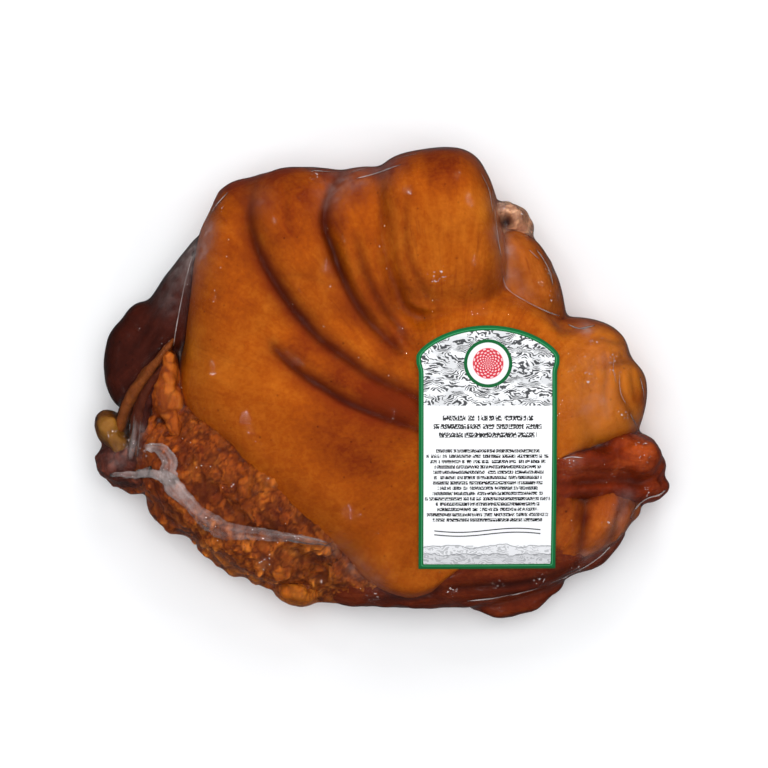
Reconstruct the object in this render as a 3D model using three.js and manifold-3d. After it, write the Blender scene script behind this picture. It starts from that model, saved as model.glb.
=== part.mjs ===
// A smoked, boneless pork hock, vacuum-packed in clear film, lying on its flat side with a label on top.
// The pack is one closed solid: the hock's lobes grown together, creased where the rind folds, smoothed to a
// bed under the label and cut flat where it rests. The label is a thin sheet that follows that bed.
// Millimetres, +Z up, origin on the table under the middle of the pack.
import * as THREE from "three";
import { mergeVertices } from "three/addons/utils/BufferGeometryUtils.js";
import Module from "manifold-3d";

// ---- driving dimensions -------------------------------------------------------------------------------
const PACK_WIDTH = 207;
const PACK_DEPTH = 170;
const PACK_HEIGHT = 57;

const LABEL_WIDTH = 51; // across its shoulders
const LABEL_LENGTH = 87;
const LABEL_THICKNESS = 0.5;
const LABEL_CENTRE = new THREE.Vector2(36.7, -24.3);
const LABEL_SIDE_INSET = 0.9; // how far the straight sides stand in from the shoulders
const LABEL_NECK = 6; // the length of side over which a shoulder grows
const LABEL_ARCH_RISE = 10.8;
const LABEL_GAP = 0.3;

const FACETS = 19; // subdivisions of each icosahedron edge
const BLEND = 5; // how softly two lobes grow together
const CORE_HEIGHT = 25; // the point inside the pack that every surface point is measured from

// ---- the hock's lobes ---------------------------------------------------------------------------------
// at: centre. half: half lengths along the lobe's own axes. turn: degrees about +Z. power: 2 is an egg, more is squarer.
const LOBES = [
  // the rind, wrapped over the shank in three folds
  { name: "broad_fold", at: [13, 41, 25], half: [29, 43, 32], turn: -9, power: 3.0 },
  { name: "middle_fold", at: [-27, 40, 23], half: [22, 38, 30], turn: 2, power: 2.8 },
  { name: "left_fold", at: [-49, 28, 21], half: [23, 46, 28], turn: -4, power: 2.4 },
  { name: "shank", at: [-17, -8, 24], half: [57, 50, 33], turn: -38, power: 2.4 },
  { name: "rind_tip", at: [12, -49, 20], half: [31, 31, 27], turn: 20, power: 2.4 },
  { name: "label_side", at: [34, -14, 22], half: [42, 48, 31], turn: 12, power: 2.4 },
  // what the rind leaves bare along the left and the bottom
  { name: "dark_fold", at: [-73, 27, 16], half: [36, 13, 15], turn: 51, power: 2.4 },
  { name: "dark_heel", at: [-87, 5, 16], half: [14, 19, 14], turn: 0, power: 2.4 },
  { name: "fat_knob", at: [-97, -20, 17], half: [6.5, 10, 8], turn: 10, power: 2.4 },
  { name: "torn_end", at: [-90, -32, 14], half: [13, 9, 11], turn: -14, power: 2.4 },
  { name: "bare_meat", at: [-55, -42, 18], half: [44, 22, 19], turn: -38, power: 2.4 },
  { name: "meat_edge", at: [-33, -66, 12], half: [28, 13, 12], turn: -22, power: 2.4 },
  { name: "meat_foot", at: [-13, -69, 13], half: [20, 11, 14], turn: -2, power: 2.4 },
  { name: "fat_lump", at: [-33, -76, 9], half: [9, 5.5, 7], turn: -10, power: 2.4 },
  { name: "bottom_band", at: [20, -67, 13], half: [54, 13, 13], turn: 3, power: 2.4 },
  { name: "bottom_knob", at: [45, -77, 8], half: [14, 7.5, 7], turn: 8, power: 2.4 },
  // the lobes along the right
  { name: "joint_knob", at: [44, 57, 18], half: [8.5, 9, 11], turn: 0, power: 2.4 },
  { name: "upper_lobe", at: [50, 34, 19], half: [14, 23, 18], turn: 24, power: 2.4 },
  { name: "right_lobe", at: [70, -1, 20], half: [25, 27, 23], turn: 8, power: 2.6 },
  { name: "end_roll", at: [80, -31, 19], half: [24, 10, 14], turn: -13, power: 2.4 },
  { name: "lower_lobe", at: [66, -50, 16], half: [27, 17, 17], turn: 38, power: 2.4 },
];

// ---- the creases between the folds --------------------------------------------------------------------
// path: plan points from the far edge towards the label. Each crease is deepest at its middle.
const CREASES = [
  {
    name: "left_crease", width: 3.4, depth: 5,
    path: [[-48, 69], [-44, 47], [-32, 22], [-15, 9], [-4, -1], [12, -8]],
  },
  { name: "lower_crease", width: 3.4, depth: 4, path: [[-40, 14], [-20, -5], [-5, -9], [14, -18]] },
  { name: "middle_crease", width: 3, depth: 6, path: [[-17, 71], [-20, 52], [-14, 30], [0, 13], [12, 7]] },
  { name: "fine_crease", width: 2.4, depth: 2.5, path: [[-7, 47], [-3, 29], [3, 22], [11, 13]] },
];

const topOfTable = 0;
const creaseFloor = 20; // creases and the label's bed only shape the pack above this height

function lobeDistance(lobe, point) {
  const angle = THREE.MathUtils.degToRad(-lobe.turn);
  const [cx, cy, cz] = lobe.at;
  const dx = point.x - cx;
  const dy = point.y - cy;
  const local = [
    dx * Math.cos(angle) - dy * Math.sin(angle),
    dx * Math.sin(angle) + dy * Math.cos(angle),
    point.z - cz,
  ];
  // a superellipsoid, squarer than an egg: k is 1 on its surface, and k over its slope is about a distance
  const { power } = lobe;
  const shares = local.map((value, axis) => Math.abs(value) / lobe.half[axis]);
  const k = Math.pow(shares.reduce((sum, share) => sum + Math.pow(share, power), 0), 1 / power);
  if (k < 1e-6) return -Math.min(...lobe.half);
  const slope = Math.hypot(
    ...shares.map((share, axis) => Math.pow(share / k, power - 1) / lobe.half[axis]),
  );
  return (k - 1) / slope;
}

function smoothMin(a, b, blend) {
  const near = Math.max(blend - Math.abs(a - b), 0) / blend;
  return Math.min(a, b) - (near * near * blend) / 4;
}

const smoothStep = (low, high, value) => THREE.MathUtils.smoothstep(value, low, high);

// Each crease as closely spaced plan points with how deep it is at each.
const creaseLines = CREASES.map((crease) => {
  const steps = 48;
  const curve = new THREE.SplineCurve(crease.path.map(([x, y]) => new THREE.Vector2(x, y)));
  return {
    ...crease,
    points: curve.getSpacedPoints(steps),
    depths: Array.from({ length: steps + 1 }, (_, i) => crease.depth * Math.sin((Math.PI * (i + 6)) / (steps + 12))),
  };
});

function creaseDepth(point) {
  let depth = 0;
  for (const crease of creaseLines) {
    let nearest = Infinity;
    let here = 0;
    crease.points.forEach((onLine, i) => {
      const gap = Math.hypot(onLine.x - point.x, onLine.y - point.y);
      if (gap < nearest) {
        nearest = gap;
        here = crease.depths[i];
      }
    });
    depth += here * Math.exp(-((nearest / crease.width) ** 2));
  }
  return depth;
}

// ---- the bed that the label lies on -------------------------------------------------------------------
// It is highest near the label's left edge, and falls away to the right, the top and the bottom.
const BED = { peak: new THREE.Vector2(12, -2), height: 54, fallX: 0.0026, fallY: 0.0042 };

function bedHeight(x, y) {
  return BED.height - BED.fallX * (x - BED.peak.x) ** 2 - BED.fallY * (y - BED.peak.y) ** 2;
}

function outsideLabel(x, y) {
  const dx = Math.abs(x - LABEL_CENTRE.x) - LABEL_WIDTH / 2;
  const dy = Math.abs(y - LABEL_CENTRE.y) - LABEL_LENGTH / 2;
  return Math.hypot(Math.max(dx, 0), Math.max(dy, 0));
}

// Negative inside the pack, positive outside, in about millimetres.
function packDistance(point) {
  let distance = Infinity;
  for (const lobe of LOBES) distance = smoothMin(distance, lobeDistance(lobe, point), BLEND);
  const high = smoothStep(creaseFloor - 6, creaseFloor + 6, point.z);
  distance += high * creaseDepth(point);
  const onBed = high * (1 - smoothStep(4, 17, outsideLabel(point.x, point.y)));
  return THREE.MathUtils.lerp(distance, point.z - bedHeight(point.x, point.y), onBed);
}

// ---- the pack -----------------------------------------------------------------------------------------
// Every vertex of a fine icosahedron is pushed out along its own ray to the outermost point of the pack.
function outermost(core, direction) {
  const farthest = 130;
  const stride = 2;
  const point = new THREE.Vector3();
  const at = (reach) => packDistance(point.copy(core).addScaledVector(direction, reach));
  let outside = farthest;
  while (outside > stride && at(outside) > 0) outside -= Math.max(stride, 0.5 * at(outside));
  let inside = Math.max(outside, 0);
  outside = inside + farthest / 8;
  for (let halving = 0; halving < 18; halving += 1) {
    const middle = (inside + outside) / 2;
    if (at(middle) > 0) outside = middle;
    else inside = middle;
  }
  return inside;
}

function packGeometry() {
  const core = new THREE.Vector3(0, 0, CORE_HEIGHT);
  const ball = new THREE.IcosahedronGeometry(1, FACETS);
  ball.deleteAttribute("normal");
  ball.deleteAttribute("uv");
  const geometry = mergeVertices(ball, 1e-5);
  const position = geometry.getAttribute("position");
  const direction = new THREE.Vector3();
  for (let i = 0; i < position.count; i += 1) {
    direction.fromBufferAttribute(position, i);
    direction.set(direction.x * 1.9, direction.y * 1.7, direction.z).normalize(); // more rays to the rim
    const reach = outermost(core, direction);
    position.setXYZ(i, ...direction.multiplyScalar(reach).add(core).toArray());
  }
  return geometry;
}

// ---- the label ----------------------------------------------------------------------------------------
// Straight sides, a small rounded shoulder at the head of each, and an arched top between the shoulders.
function labelOutline() {
  const right = LABEL_WIDTH / 2;
  const side = right - LABEL_SIDE_INSET;
  const top = LABEL_LENGTH / 2;
  const springing = top - LABEL_ARCH_RISE;
  const archKnee = { x: right * 0.8, y: springing + LABEL_ARCH_RISE * 0.62 };
  const shape = new THREE.Shape();
  shape.moveTo(-side, -top);
  shape.lineTo(side, -top);
  shape.lineTo(side, springing - LABEL_NECK);
  shape.quadraticCurveTo(right, springing - LABEL_NECK / 2, right, springing);
  shape.bezierCurveTo(archKnee.x, archKnee.y, right * 0.45, top, 0, top);
  shape.bezierCurveTo(-right * 0.45, top, -archKnee.x, archKnee.y, -right, springing);
  shape.quadraticCurveTo(-right, springing - LABEL_NECK / 2, -side, springing - LABEL_NECK);
  shape.closePath();
  return shape;
}

function labelSheet() {
  const margin = 4;
  const sheet = new THREE.BoxGeometry(
    LABEL_WIDTH + margin, LABEL_LENGTH + margin, LABEL_THICKNESS, 14, 24, 1,
  ).translate(LABEL_CENTRE.x, LABEL_CENTRE.y, LABEL_GAP + LABEL_THICKNESS / 2);
  const position = sheet.getAttribute("position");
  for (let i = 0; i < position.count; i += 1) {
    position.setZ(i, position.getZ(i) + bedHeight(position.getX(i), position.getY(i)));
  }
  return sheet;
}

// ---- joining and cutting ------------------------------------------------------------------------------
const wasm = await Module();
wasm.setup();

function toSolid(geometry) {
  const bare = geometry.clone();
  bare.deleteAttribute("normal");
  bare.deleteAttribute("uv");
  const merged = mergeVertices(bare, 1e-4);
  return new wasm.Manifold(new wasm.Mesh({
    numProp: 3,
    vertProperties: new Float32Array(merged.getAttribute("position").array),
    triVerts: new Uint32Array(merged.index.array),
  }));
}

function toGeometry(solid) {
  const { vertProperties, triVerts } = solid.getMesh();
  const geometry = new THREE.BufferGeometry();
  geometry.setAttribute("position", new THREE.BufferAttribute(new Float32Array(vertProperties), 3));
  geometry.setIndex(new THREE.BufferAttribute(new Uint32Array(triVerts), 1));
  geometry.computeVertexNormals();
  return geometry;
}

function makePack() {
  const below = 60;
  const underTable = new THREE.BoxGeometry(2 * PACK_WIDTH, 2 * PACK_DEPTH, below)
    .translate(0, 0, topOfTable - below / 2);
  return toGeometry(toSolid(packGeometry()).subtract(toSolid(underTable)));
}

function makeLabel() {
  const column = new THREE.ExtrudeGeometry(labelOutline(), {
    depth: 2 * PACK_HEIGHT, bevelEnabled: false, curveSegments: 10,
  }).translate(LABEL_CENTRE.x, LABEL_CENTRE.y, 0);
  return toGeometry(toSolid(labelSheet()).intersect(toSolid(column)));
}

// ---- the object ---------------------------------------------------------------------------------------
function part(name, geometry, material) {
  const mesh = new THREE.Mesh(geometry, new THREE.MeshStandardMaterial(material));
  mesh.name = name;
  return mesh;
}

const pack = part("packed_hock", makePack(), { color: 0xb5651d, roughness: 0.3, metalness: 0 });
const label = part("label", makeLabel(), { color: 0xf2f2ee, roughness: 0.45, metalness: 0 });

// the lobes place the pack to within a millimetre, and this puts its middle exactly over the origin
const middle = new THREE.Box3().setFromObject(pack).getCenter(new THREE.Vector3());
const centred = new THREE.Group();
centred.position.set(-middle.x, -middle.y, 0);
centred.add(pack, label);

const hockPack = new THREE.Group();
hockPack.add(centred);

export default hockPack;
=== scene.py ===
# %% [markdown]
# # A smoked, boneless pork hock in clear vacuum film
# The hock was boned, smoked until its rind turned amber, folded up, and sealed in film that shrank onto it.
# A paper label is stuck on top. What shows is layers: paper over film, and film over rind, meat and fat.
# They are made here from the inside out, because a film takes its shape from what it is drawn over.

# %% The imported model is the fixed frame
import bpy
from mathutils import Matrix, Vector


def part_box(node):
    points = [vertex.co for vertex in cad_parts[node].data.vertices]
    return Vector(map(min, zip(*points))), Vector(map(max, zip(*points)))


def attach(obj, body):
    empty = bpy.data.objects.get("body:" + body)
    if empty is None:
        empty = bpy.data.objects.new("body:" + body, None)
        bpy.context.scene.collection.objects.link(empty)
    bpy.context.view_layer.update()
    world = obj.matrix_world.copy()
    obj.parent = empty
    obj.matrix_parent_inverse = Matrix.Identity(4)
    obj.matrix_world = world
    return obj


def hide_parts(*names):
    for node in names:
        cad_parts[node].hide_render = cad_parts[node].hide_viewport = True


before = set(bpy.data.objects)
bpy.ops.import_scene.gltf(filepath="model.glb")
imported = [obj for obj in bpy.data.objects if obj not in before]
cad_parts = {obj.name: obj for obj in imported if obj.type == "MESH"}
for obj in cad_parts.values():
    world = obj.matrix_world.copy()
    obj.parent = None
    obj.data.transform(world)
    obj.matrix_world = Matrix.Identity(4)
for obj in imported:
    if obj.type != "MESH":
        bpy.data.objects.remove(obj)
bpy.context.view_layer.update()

# %% What the later cells use
import math

import bmesh
import bpy
import numpy as np
from mathutils import Matrix, Vector, noise
from mathutils.bvhtree import BVHTree
from mathutils.kdtree import KDTree

chance = np.random.default_rng(7)


def place_in_scene(name, data):
    """A new object of the scene that shows that mesh, lamp or camera."""
    item = bpy.data.objects.new(name, data)
    bpy.context.scene.collection.objects.link(item)
    return item


# %% [markdown]
# ## Measures
# The pieces are modelled in millimetres from the middle of the pack, with the table at height 0. Each one
# is then set into the frame, which is in metres, as its last step. Working in millimetres keeps the numbers
# readable, and one factor from the frame keeps them honest if the pack is ever made larger.

# %% Millimetres, and the way back into the frame
pack_low, pack_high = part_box("packed_hock")
PACK_WIDTH = 206.7
mm = (pack_high.x - pack_low.x) / PACK_WIDTH
pack_middle = Vector(((pack_low.x + pack_high.x) / 2, (pack_low.y + pack_high.y) / 2, pack_low.z))
into_frame = Matrix.Translation(pack_middle) @ Matrix.Scale(mm, 4)
label_low, label_high = (into_frame.inverted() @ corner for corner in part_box("label"))
print("one millimetre in the frame:", round(mm, 6), " label:", label_low[:], label_high[:])

# %% [markdown]
# ## Camera, table and light
# The pack lies flat and is seen from straight above. A long lens from far away keeps the tall middle from
# looking larger than the rim. Film shows every lamp as a glint, so the large lamps that only have to
# brighten the meat are hidden from reflections, and small ones are left to make the glints.

# %% A long lens straight above the pack
CAMERA_HEIGHT = 1800
FIELD = 276.5  # the width that the camera takes in, at half the pack's height
HALF_HEIGHT = 25
VIEW_SHIFT = -1.4  # how far the middle of the view lies from the middle of the pack, along Y
camera_data = bpy.data.cameras.new("camera")
camera_data.sensor_width = 36
camera_data.lens = camera_data.sensor_width * (CAMERA_HEIGHT - HALF_HEIGHT) / FIELD
camera_data.clip_start, camera_data.clip_end = 0.05, 20
camera = place_in_scene("camera", camera_data)
camera.location = into_frame @ Vector((0.0, VIEW_SHIFT, CAMERA_HEIGHT))
bpy.context.scene.camera = camera
bpy.context.scene.view_settings.view_transform = "Standard"


# %% Shader values that add up like numbers
class Value:
    """A number or colour that varies over a surface. Arithmetic on it adds Math nodes to its node tree."""

    def __init__(self, socket):
        self.socket, self.tree = socket, socket.id_data

    def __add__(self, other):
        return calculate("ADD", self, other)

    def __sub__(self, other):
        return calculate("SUBTRACT", self, other)

    def __rsub__(self, other):
        return calculate("SUBTRACT", other, self)

    def __mul__(self, other):
        return calculate("MULTIPLY", self, other)

    def __truediv__(self, other):
        return calculate("DIVIDE", self, other)

    def __rtruediv__(self, other):
        return calculate("DIVIDE", other, self)

    def __gt__(self, other):
        return calculate("GREATER_THAN", self, other)

    def __lt__(self, other):
        return calculate("LESS_THAN", self, other)

    __radd__ = __add__


def add_node(tree, kind, links=None, **settings):
    """Adds a shader node. links gives an input a plain value, or a Value to read."""
    node = tree.nodes.new("ShaderNode" + kind)
    for name, value in settings.items():
        setattr(node, name, value)
    for name, value in (links or {}).items():
        if isinstance(value, Value):
            tree.links.new(value.socket, node.inputs[name])
        else:
            node.inputs[name].default_value = value
    return node


def result_of(tree, kind, links=None, socket=0, **settings):
    """The Value that a new shader node puts out."""
    return Value(add_node(tree, kind, links, **settings).outputs[socket])


def calculate(operation, *values):
    """One Math node: numbers and Values go in, and its result comes out."""
    tree = next(value.tree for value in values if isinstance(value, Value))
    return result_of(tree, "Math", dict(enumerate(values)), operation=operation)


def larger(first, second):
    return calculate("MAXIMUM", first, second)


def between(value, low, high, shape="SMOOTHSTEP"):
    """0 below low, 1 above high, and a climb in between."""
    links = {"Value": value, "From Min": low, "From Max": high}
    return result_of(value.tree, "MapRange", links, interpolation_type=shape)


def held(value):
    """The value, kept from 0 to 1."""
    return between(value, 0.0, 1.0, "LINEAR")


def blend_colours(share, first, second):
    """Goes from the first colour to the second as share goes from 0 to 1."""
    links = {0: share, 6: first, 7: second}
    return result_of(share.tree, "Mix", links, 2, data_type="RGBA", clamp_factor=True)


def three_tones(tone, low, middle, high):
    """The colour at that tone, from 0 to 1, on a ramp of three."""
    ramp = add_node(tone.tree, "ValToRGB", {"Fac": tone})
    stops = ramp.color_ramp.elements
    stops[0].color, stops[1].color = low, high
    stops.new(0.5).color = middle
    return Value(ramp.outputs["Color"])


def read(tree, attribute):
    """The number that a piece keeps at each of its points under that name."""
    return result_of(tree, "Attribute", socket="Fac", attribute_name=attribute)


def object_place(tree):
    return result_of(tree, "TexCoord", socket="Object")


def map_place(tree, name):
    return result_of(tree, "UVMap", uv_map=name)


def noise_over(place, scale, detail=2.0, **more):
    return result_of(place.tree, "TexNoise", {"Vector": place, "Scale": scale, "Detail": detail, **more})


def bumped(height, strength, distance):
    return result_of(height.tree, "Bump", {"Height": height, "Strength": strength, "Distance": distance})


def shade(red, green, blue):
    """A screen colour, each part from 0 to 255, as the linear colour that shaders mix."""
    parts = [part / 255 for part in (red, green, blue)]
    return [p / 12.92 if p <= 0.04045 else ((p + 0.055) / 1.055) ** 2.4 for p in parts] + [1.0]


def new_material(name):
    """An empty material, and its node tree."""
    material = bpy.data.materials.new(name)
    material.use_nodes = True
    material.node_tree.nodes.clear()
    return material, material.node_tree


def finish_material(material, links):
    """Gives the material its one shader, with colours, masks and numbers for the shader's sockets."""
    shader = result_of(material.node_tree, "BsdfPrincipled", links)
    add_node(material.node_tree, "OutputMaterial", {"Surface": shader})
    return material


# %% The table and the lamps
TABLE_REACH = 3000


def add_table():
    """A pale, matte ground that gets the pack's shadow but isn't mirrored in the film."""
    bm = bmesh.new()
    bmesh.ops.create_grid(bm, x_segments=1, y_segments=1, size=TABLE_REACH)
    mesh = bpy.data.meshes.new("table")
    bm.to_mesh(mesh)
    bm.free()
    mesh.transform(into_frame)
    material, tree = new_material("pale_table")
    mottle = noise_over(object_place(tree), 3.0)
    mesh.materials.append(finish_material(material, {
        "Base Color": blend_colours(mottle, shade(243, 243, 244), shade(247, 247, 247)),
        "Roughness": 0.9, "Specular IOR Level": 0.0}))
    table = place_in_scene("table", mesh)
    table.visible_glossy = False


def add_lamp(name, at, size, watts, glints):
    """A square soft lamp that faces the pack. Without glints, the film doesn't mirror it."""
    lamp = bpy.data.lights.new(name, "AREA")
    lamp.size = size
    lamp.energy = watts
    holder = place_in_scene(name, lamp)
    holder.location = at
    holder.rotation_mode = "QUATERNION"
    holder.rotation_quaternion = (-Vector(at)).to_track_quat("-Z", "Y")
    holder.visible_glossy = glints


# The lamps' places and sizes are in metres.
GLINT_DISTANCE = 1.1
GLINT_ANGLES = [(20, 40), (75, 30), (130, 45), (170, 28), (215, 40), (260, 34), (310, 30), (345, 56)]
add_table()
add_lamp("overhead_soft", (0.0, 0.15, 1.5), size=1.3, watts=13.2, glints=False)
add_lamp("far_soft", (0.15, 1.05, 0.8), size=0.6, watts=4.2, glints=False)
for azimuth, height in GLINT_ANGLES:
    around, up = math.radians(azimuth), math.radians(height)
    direction = Vector((math.cos(around) * math.cos(up), math.sin(around) * math.cos(up), math.sin(up)))
    add_lamp(f"glint_{azimuth}", GLINT_DISTANCE * direction, size=0.036, watts=0.30, glints=True)


# %% The pale room
def light_room(strength, mirrored):
    """An even, pale room that film and moisture mirror only faintly."""
    world = bpy.data.worlds.new("studio")
    world.use_nodes = True
    tree = world.node_tree
    background = tree.nodes["Background"]
    background.inputs["Color"].default_value = (0.95, 0.97, 1.0, 1)
    is_mirror = result_of(tree, "LightPath", socket="Is Glossy Ray")
    level = is_mirror * (mirrored - strength) + strength
    tree.links.new(level.socket, background.inputs["Strength"])
    bpy.context.scene.world = world


light_room(strength=0.52, mirrored=0.08)

# %% [markdown]
# ## How the meat is shaped
# A folded hock is a handful of full, rounded masses pressed against each other. Each mass starts as an
# icosphere, drawn out and turned, and a little squared, because packed meat is fuller than an egg. Spheres
# that belong to one piece are then grown together by a voxel remesh, which gives a single skin with even,
# small faces that creases and lumps can be pushed into afterwards. Modelling each fold as a loft would keep
# tidier edge loops, but it would need a join wherever two folds meet, and here they meet everywhere.

# %% Masses grown together into one skin
def add_mass(bm, at, half, turn=0.0, square=2.4, full=2.6, rounds=5):
    """A ball drawn out to half its size each way, turned about the upright.

    square says how boxy its plan is and full how flat its top is: 2 is an egg, and more is fuller."""
    ball = bmesh.ops.create_icosphere(bm, subdivisions=rounds, radius=1)["verts"]
    for vert in ball:
        plan = (abs(vert.co.x) ** square + abs(vert.co.y) ** square) ** (1 / square)
        vert.co *= (plan**full + abs(vert.co.z) ** full) ** (-1 / full)
    bmesh.ops.scale(bm, verts=ball, vec=half)
    bmesh.ops.rotate(bm, verts=ball, matrix=Matrix.Rotation(math.radians(turn), 3, "Z"))
    bmesh.ops.translate(bm, verts=ball, vec=at)


def add_roll(bm, knots, sides=24):
    """A roll along knots, each given as x, y, z, half the roll's width there and half its height."""
    line = smooth_path(knots)
    line[:, 3:] *= np.sqrt(np.clip(3 * np.sin(np.pi * np.linspace(0.02, 0.98, len(line))), 0, 1))[:, None]
    turns = [2 * math.pi * corner / sides for corner in range(sides)]
    across, up = np.cos(turns), np.sin(turns)
    rings = []
    for (x, y, z, half, high), (left_x, left_y) in zip(line, leftward(line[:, :2])):
        ring = zip(x + left_x * half * across, y + left_y * half * across, z + high * up)
        rings.append([bm.verts.new(place) for place in ring])
    for ring, following in zip(rings, rings[1:]):
        for corner in range(sides):
            after = (corner + 1) % sides
            bm.faces.new((ring[corner], ring[after], following[after], following[corner]))
    bm.faces.new(rings[0][::-1])
    bm.faces.new(rings[-1])


def piece_from(bm, name):
    """The bmesh becomes a smoothly shaded object of the scene."""
    mesh = bpy.data.meshes.new(name)
    bm.to_mesh(mesh)
    bm.free()
    mesh.shade_smooth()
    return place_in_scene(name, mesh)


def modify(piece, kind, **settings):
    modifier = piece.modifiers.new(kind, kind)
    for name, value in settings.items():
        setattr(modifier, name, value)


def keep_modified(piece):
    """The piece keeps the mesh that its modifiers make, and the modifiers go."""
    seen = piece.evaluated_get(bpy.context.evaluated_depsgraph_get())
    finished = bpy.data.meshes.new_from_object(seen)
    piece.modifiers.clear()
    piece.data = finished
    finished.name = piece.name
    finished.shade_smooth()


def regrow(piece, grain, soften):
    """Gives the piece one skin of faces about grain millimetres wide, then smooths it that many times."""
    modify(piece, "REMESH", mode="VOXEL", voxel_size=grain)
    modify(piece, "SMOOTH", factor=0.5, iterations=soften)
    keep_modified(piece)


def grow_together(name, masses, grain, soften):
    """One piece from several masses: a tuple holds values for add_mass, and a list holds a roll's knots."""
    bm = bmesh.new()
    for mass in masses:
        if isinstance(mass, list):
            add_roll(bm, mass)
        else:
            add_mass(bm, *mass)
    piece = piece_from(bm, name)
    regrow(piece, grain, soften)
    return piece


# %% Moving and marking the points of a piece
TABLE_GAP = 0.5  # the meat's underside, just above the film that lies on the table


def rows_of_three(items, field):
    values = np.empty(3 * len(items), np.float32)
    items.foreach_get(field, values)
    return values.reshape(-1, 3).astype(float)


def points_of(piece):
    return rows_of_three(piece.data.vertices, "co")


def normals_of(piece):
    return rows_of_three(piece.data.vertex_normals, "vector")


def swollen(piece, relief):
    """Where the piece's points come to lie when each moves outwards by its share of the relief."""
    return points_of(piece) + normals_of(piece) * relief[:, None]


def move_points(piece, co):
    piece.data.vertices.foreach_set("co", co.astype(np.float32).ravel())
    piece.data.update()


def mark(piece, name, values):
    """Keeps a number at each point, for the material to read."""
    layer = piece.data.attributes.get(name) or piece.data.attributes.new(name, "FLOAT", "POINT")
    layer.data.foreach_set("value", np.asarray(values, np.float32))


def marked(piece, name):
    values = np.empty(len(piece.data.vertices), np.float32)
    piece.data.attributes[name].data.foreach_get("value", values)
    return values


def mark_steep(piece):
    """Marks how steeply each point stands: 0 is level, and 1 is upright."""
    mark(piece, "steep", 1 - np.abs(normals_of(piece)[:, 2]))


def climb(value, low, high):
    """0 below low, 1 above high, and a smooth climb in between."""
    share = np.clip((value - low) / (high - low), 0, 1)
    return share * share * (3 - 2 * share)


def bell(distance, width):
    """1 at no distance, and fading to nothing over about that width."""
    return np.exp(-((distance / width) ** 2))


def spot(co, place, reach):
    """The bell round a plan place."""
    return bell(np.linalg.norm(co[:, :2] - place, axis=1), reach)


def sum_of_spots(co, spots):
    """Adds up spots given as x, y, how far each reaches and how strong it is."""
    return sum((amount * spot(co, (x, y), reach) for x, y, reach, amount in spots), np.zeros(len(co)))


def rough(co, size, shift=0.0, octaves=2):
    """Smooth noise from -1 to 1 with lumps of about that size in millimetres."""
    place = co / size + shift
    return np.array([noise.fractal(Vector(p), 1.0, 2.1, octaves) for p in place])


def smooth_path(knots, steps=10):
    """A smooth line through a few points."""
    knots = [np.array(k, float) for k in knots]
    padded = [2 * knots[0] - knots[1], *knots, 2 * knots[-1] - knots[-2]]
    line = []
    for before, start, end, after in zip(padded, padded[1:], padded[2:], padded[3:]):
        bend = 2 * before - 5 * start + 4 * end - after
        twist = 3 * start - before - 3 * end + after
        for t in np.arange(steps) / steps:
            line.append(0.5 * (2 * start + (end - before) * t + bend * t**2 + twist * t**3))
    return np.array([*line, knots[-1]])


def leftward(line):
    """At each point of a plan line, the direction straight to its left."""
    ahead = np.gradient(line, axis=0)
    return np.stack([-ahead[:, 1], ahead[:, 0]], 1) / np.linalg.norm(ahead, axis=1)[:, None]


def beside(line, plan):
    """How far each plan point is off the line, how far along it (0 to 1), and at which of its steps.

    Off the line counts as more than 0 on its left."""
    gap = plan[:, None].astype(np.float32) - line[None].astype(np.float32)
    squared = np.einsum("ijk,ijk->ij", gap, gap)
    nearest = squared.argmin(1)
    off = gap[np.arange(len(plan)), nearest]
    straight = (leftward(line)[nearest] * off).sum(1)
    past_end = (nearest == 0) | (nearest == len(line) - 1)
    distance = np.sqrt(squared[np.arange(len(plan)), nearest])
    off = np.where(past_end, np.where(straight >= 0, distance, -distance), straight)
    return off, nearest / (len(line) - 1), nearest


# %% [markdown]
# ## The bed under the label
# The label was rubbed on by hand while the film was tight, so under it the pack is pressed to one smooth,
# low dome. Everything below the label is drawn to that dome, and let go again over a finger's width round
# it.

# %% The dome, and the pull towards it
BED_TOP, BED_PEAK, BED_FALL = 54.0, np.array([11.8, -2.2]), np.array([0.0026, 0.0042])
BED_EDGE = (1.0, 14.0)  # how far beyond the label the pull starts to fade, and where it ends
TUCK_HEIGHT = 16  # the flanks are rounded in below this
label_centre = np.array([(label_low.x + label_high.x) / 2, (label_low.y + label_high.y) / 2])
label_half = np.array([(label_high.x - label_low.x) / 2, (label_high.y - label_low.y) / 2])


def bed_height(plan):
    return BED_TOP - ((plan - BED_PEAK) ** 2 * BED_FALL).sum(-1)


def press_bed(co, upward, below):
    """Draws points that face up near the label to that far below the dome, if they are near it already."""
    outside = np.linalg.norm(np.maximum(np.abs(co[:, :2] - label_centre) - label_half, 0), axis=1)
    lift = bed_height(co[:, :2]) - below - co[:, 2]
    near = np.where(lift > 0, 1 - climb(lift, 3, 9), 1.0)
    pull = (1 - climb(outside, *BED_EDGE)) * climb(upward, 0.2, 0.6) * near
    co[:, 2] += np.where((outside < 2) & (lift < 0), 1.0, pull) * lift
    return co


def rest_on_table(co, gap=TABLE_GAP, tuck=0.07):
    """Rounds the flanks in towards the table, and flattens whatever would go below it."""
    co[:, :2] *= 1 - tuck * np.clip(1 - co[:, 2:] / TUCK_HEIGHT, 0, 1) ** 2
    co[:, 2] = np.maximum(co[:, 2], gap)
    return co


# %% [markdown]
# ## The rind
# The rind is one thick skin that wraps the hock and is thrown into folds, which run together at the label.
# Its masses give the full shape. The folds' creases are then pressed in along lines: a narrow cut with soft
# shoulders, steeper on one side, because one fold leans over the other. Along its lower left the rind was
# trimmed, and its cut edge stands over the meat, so the points beyond that line are drawn back to make a
# wall.

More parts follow.
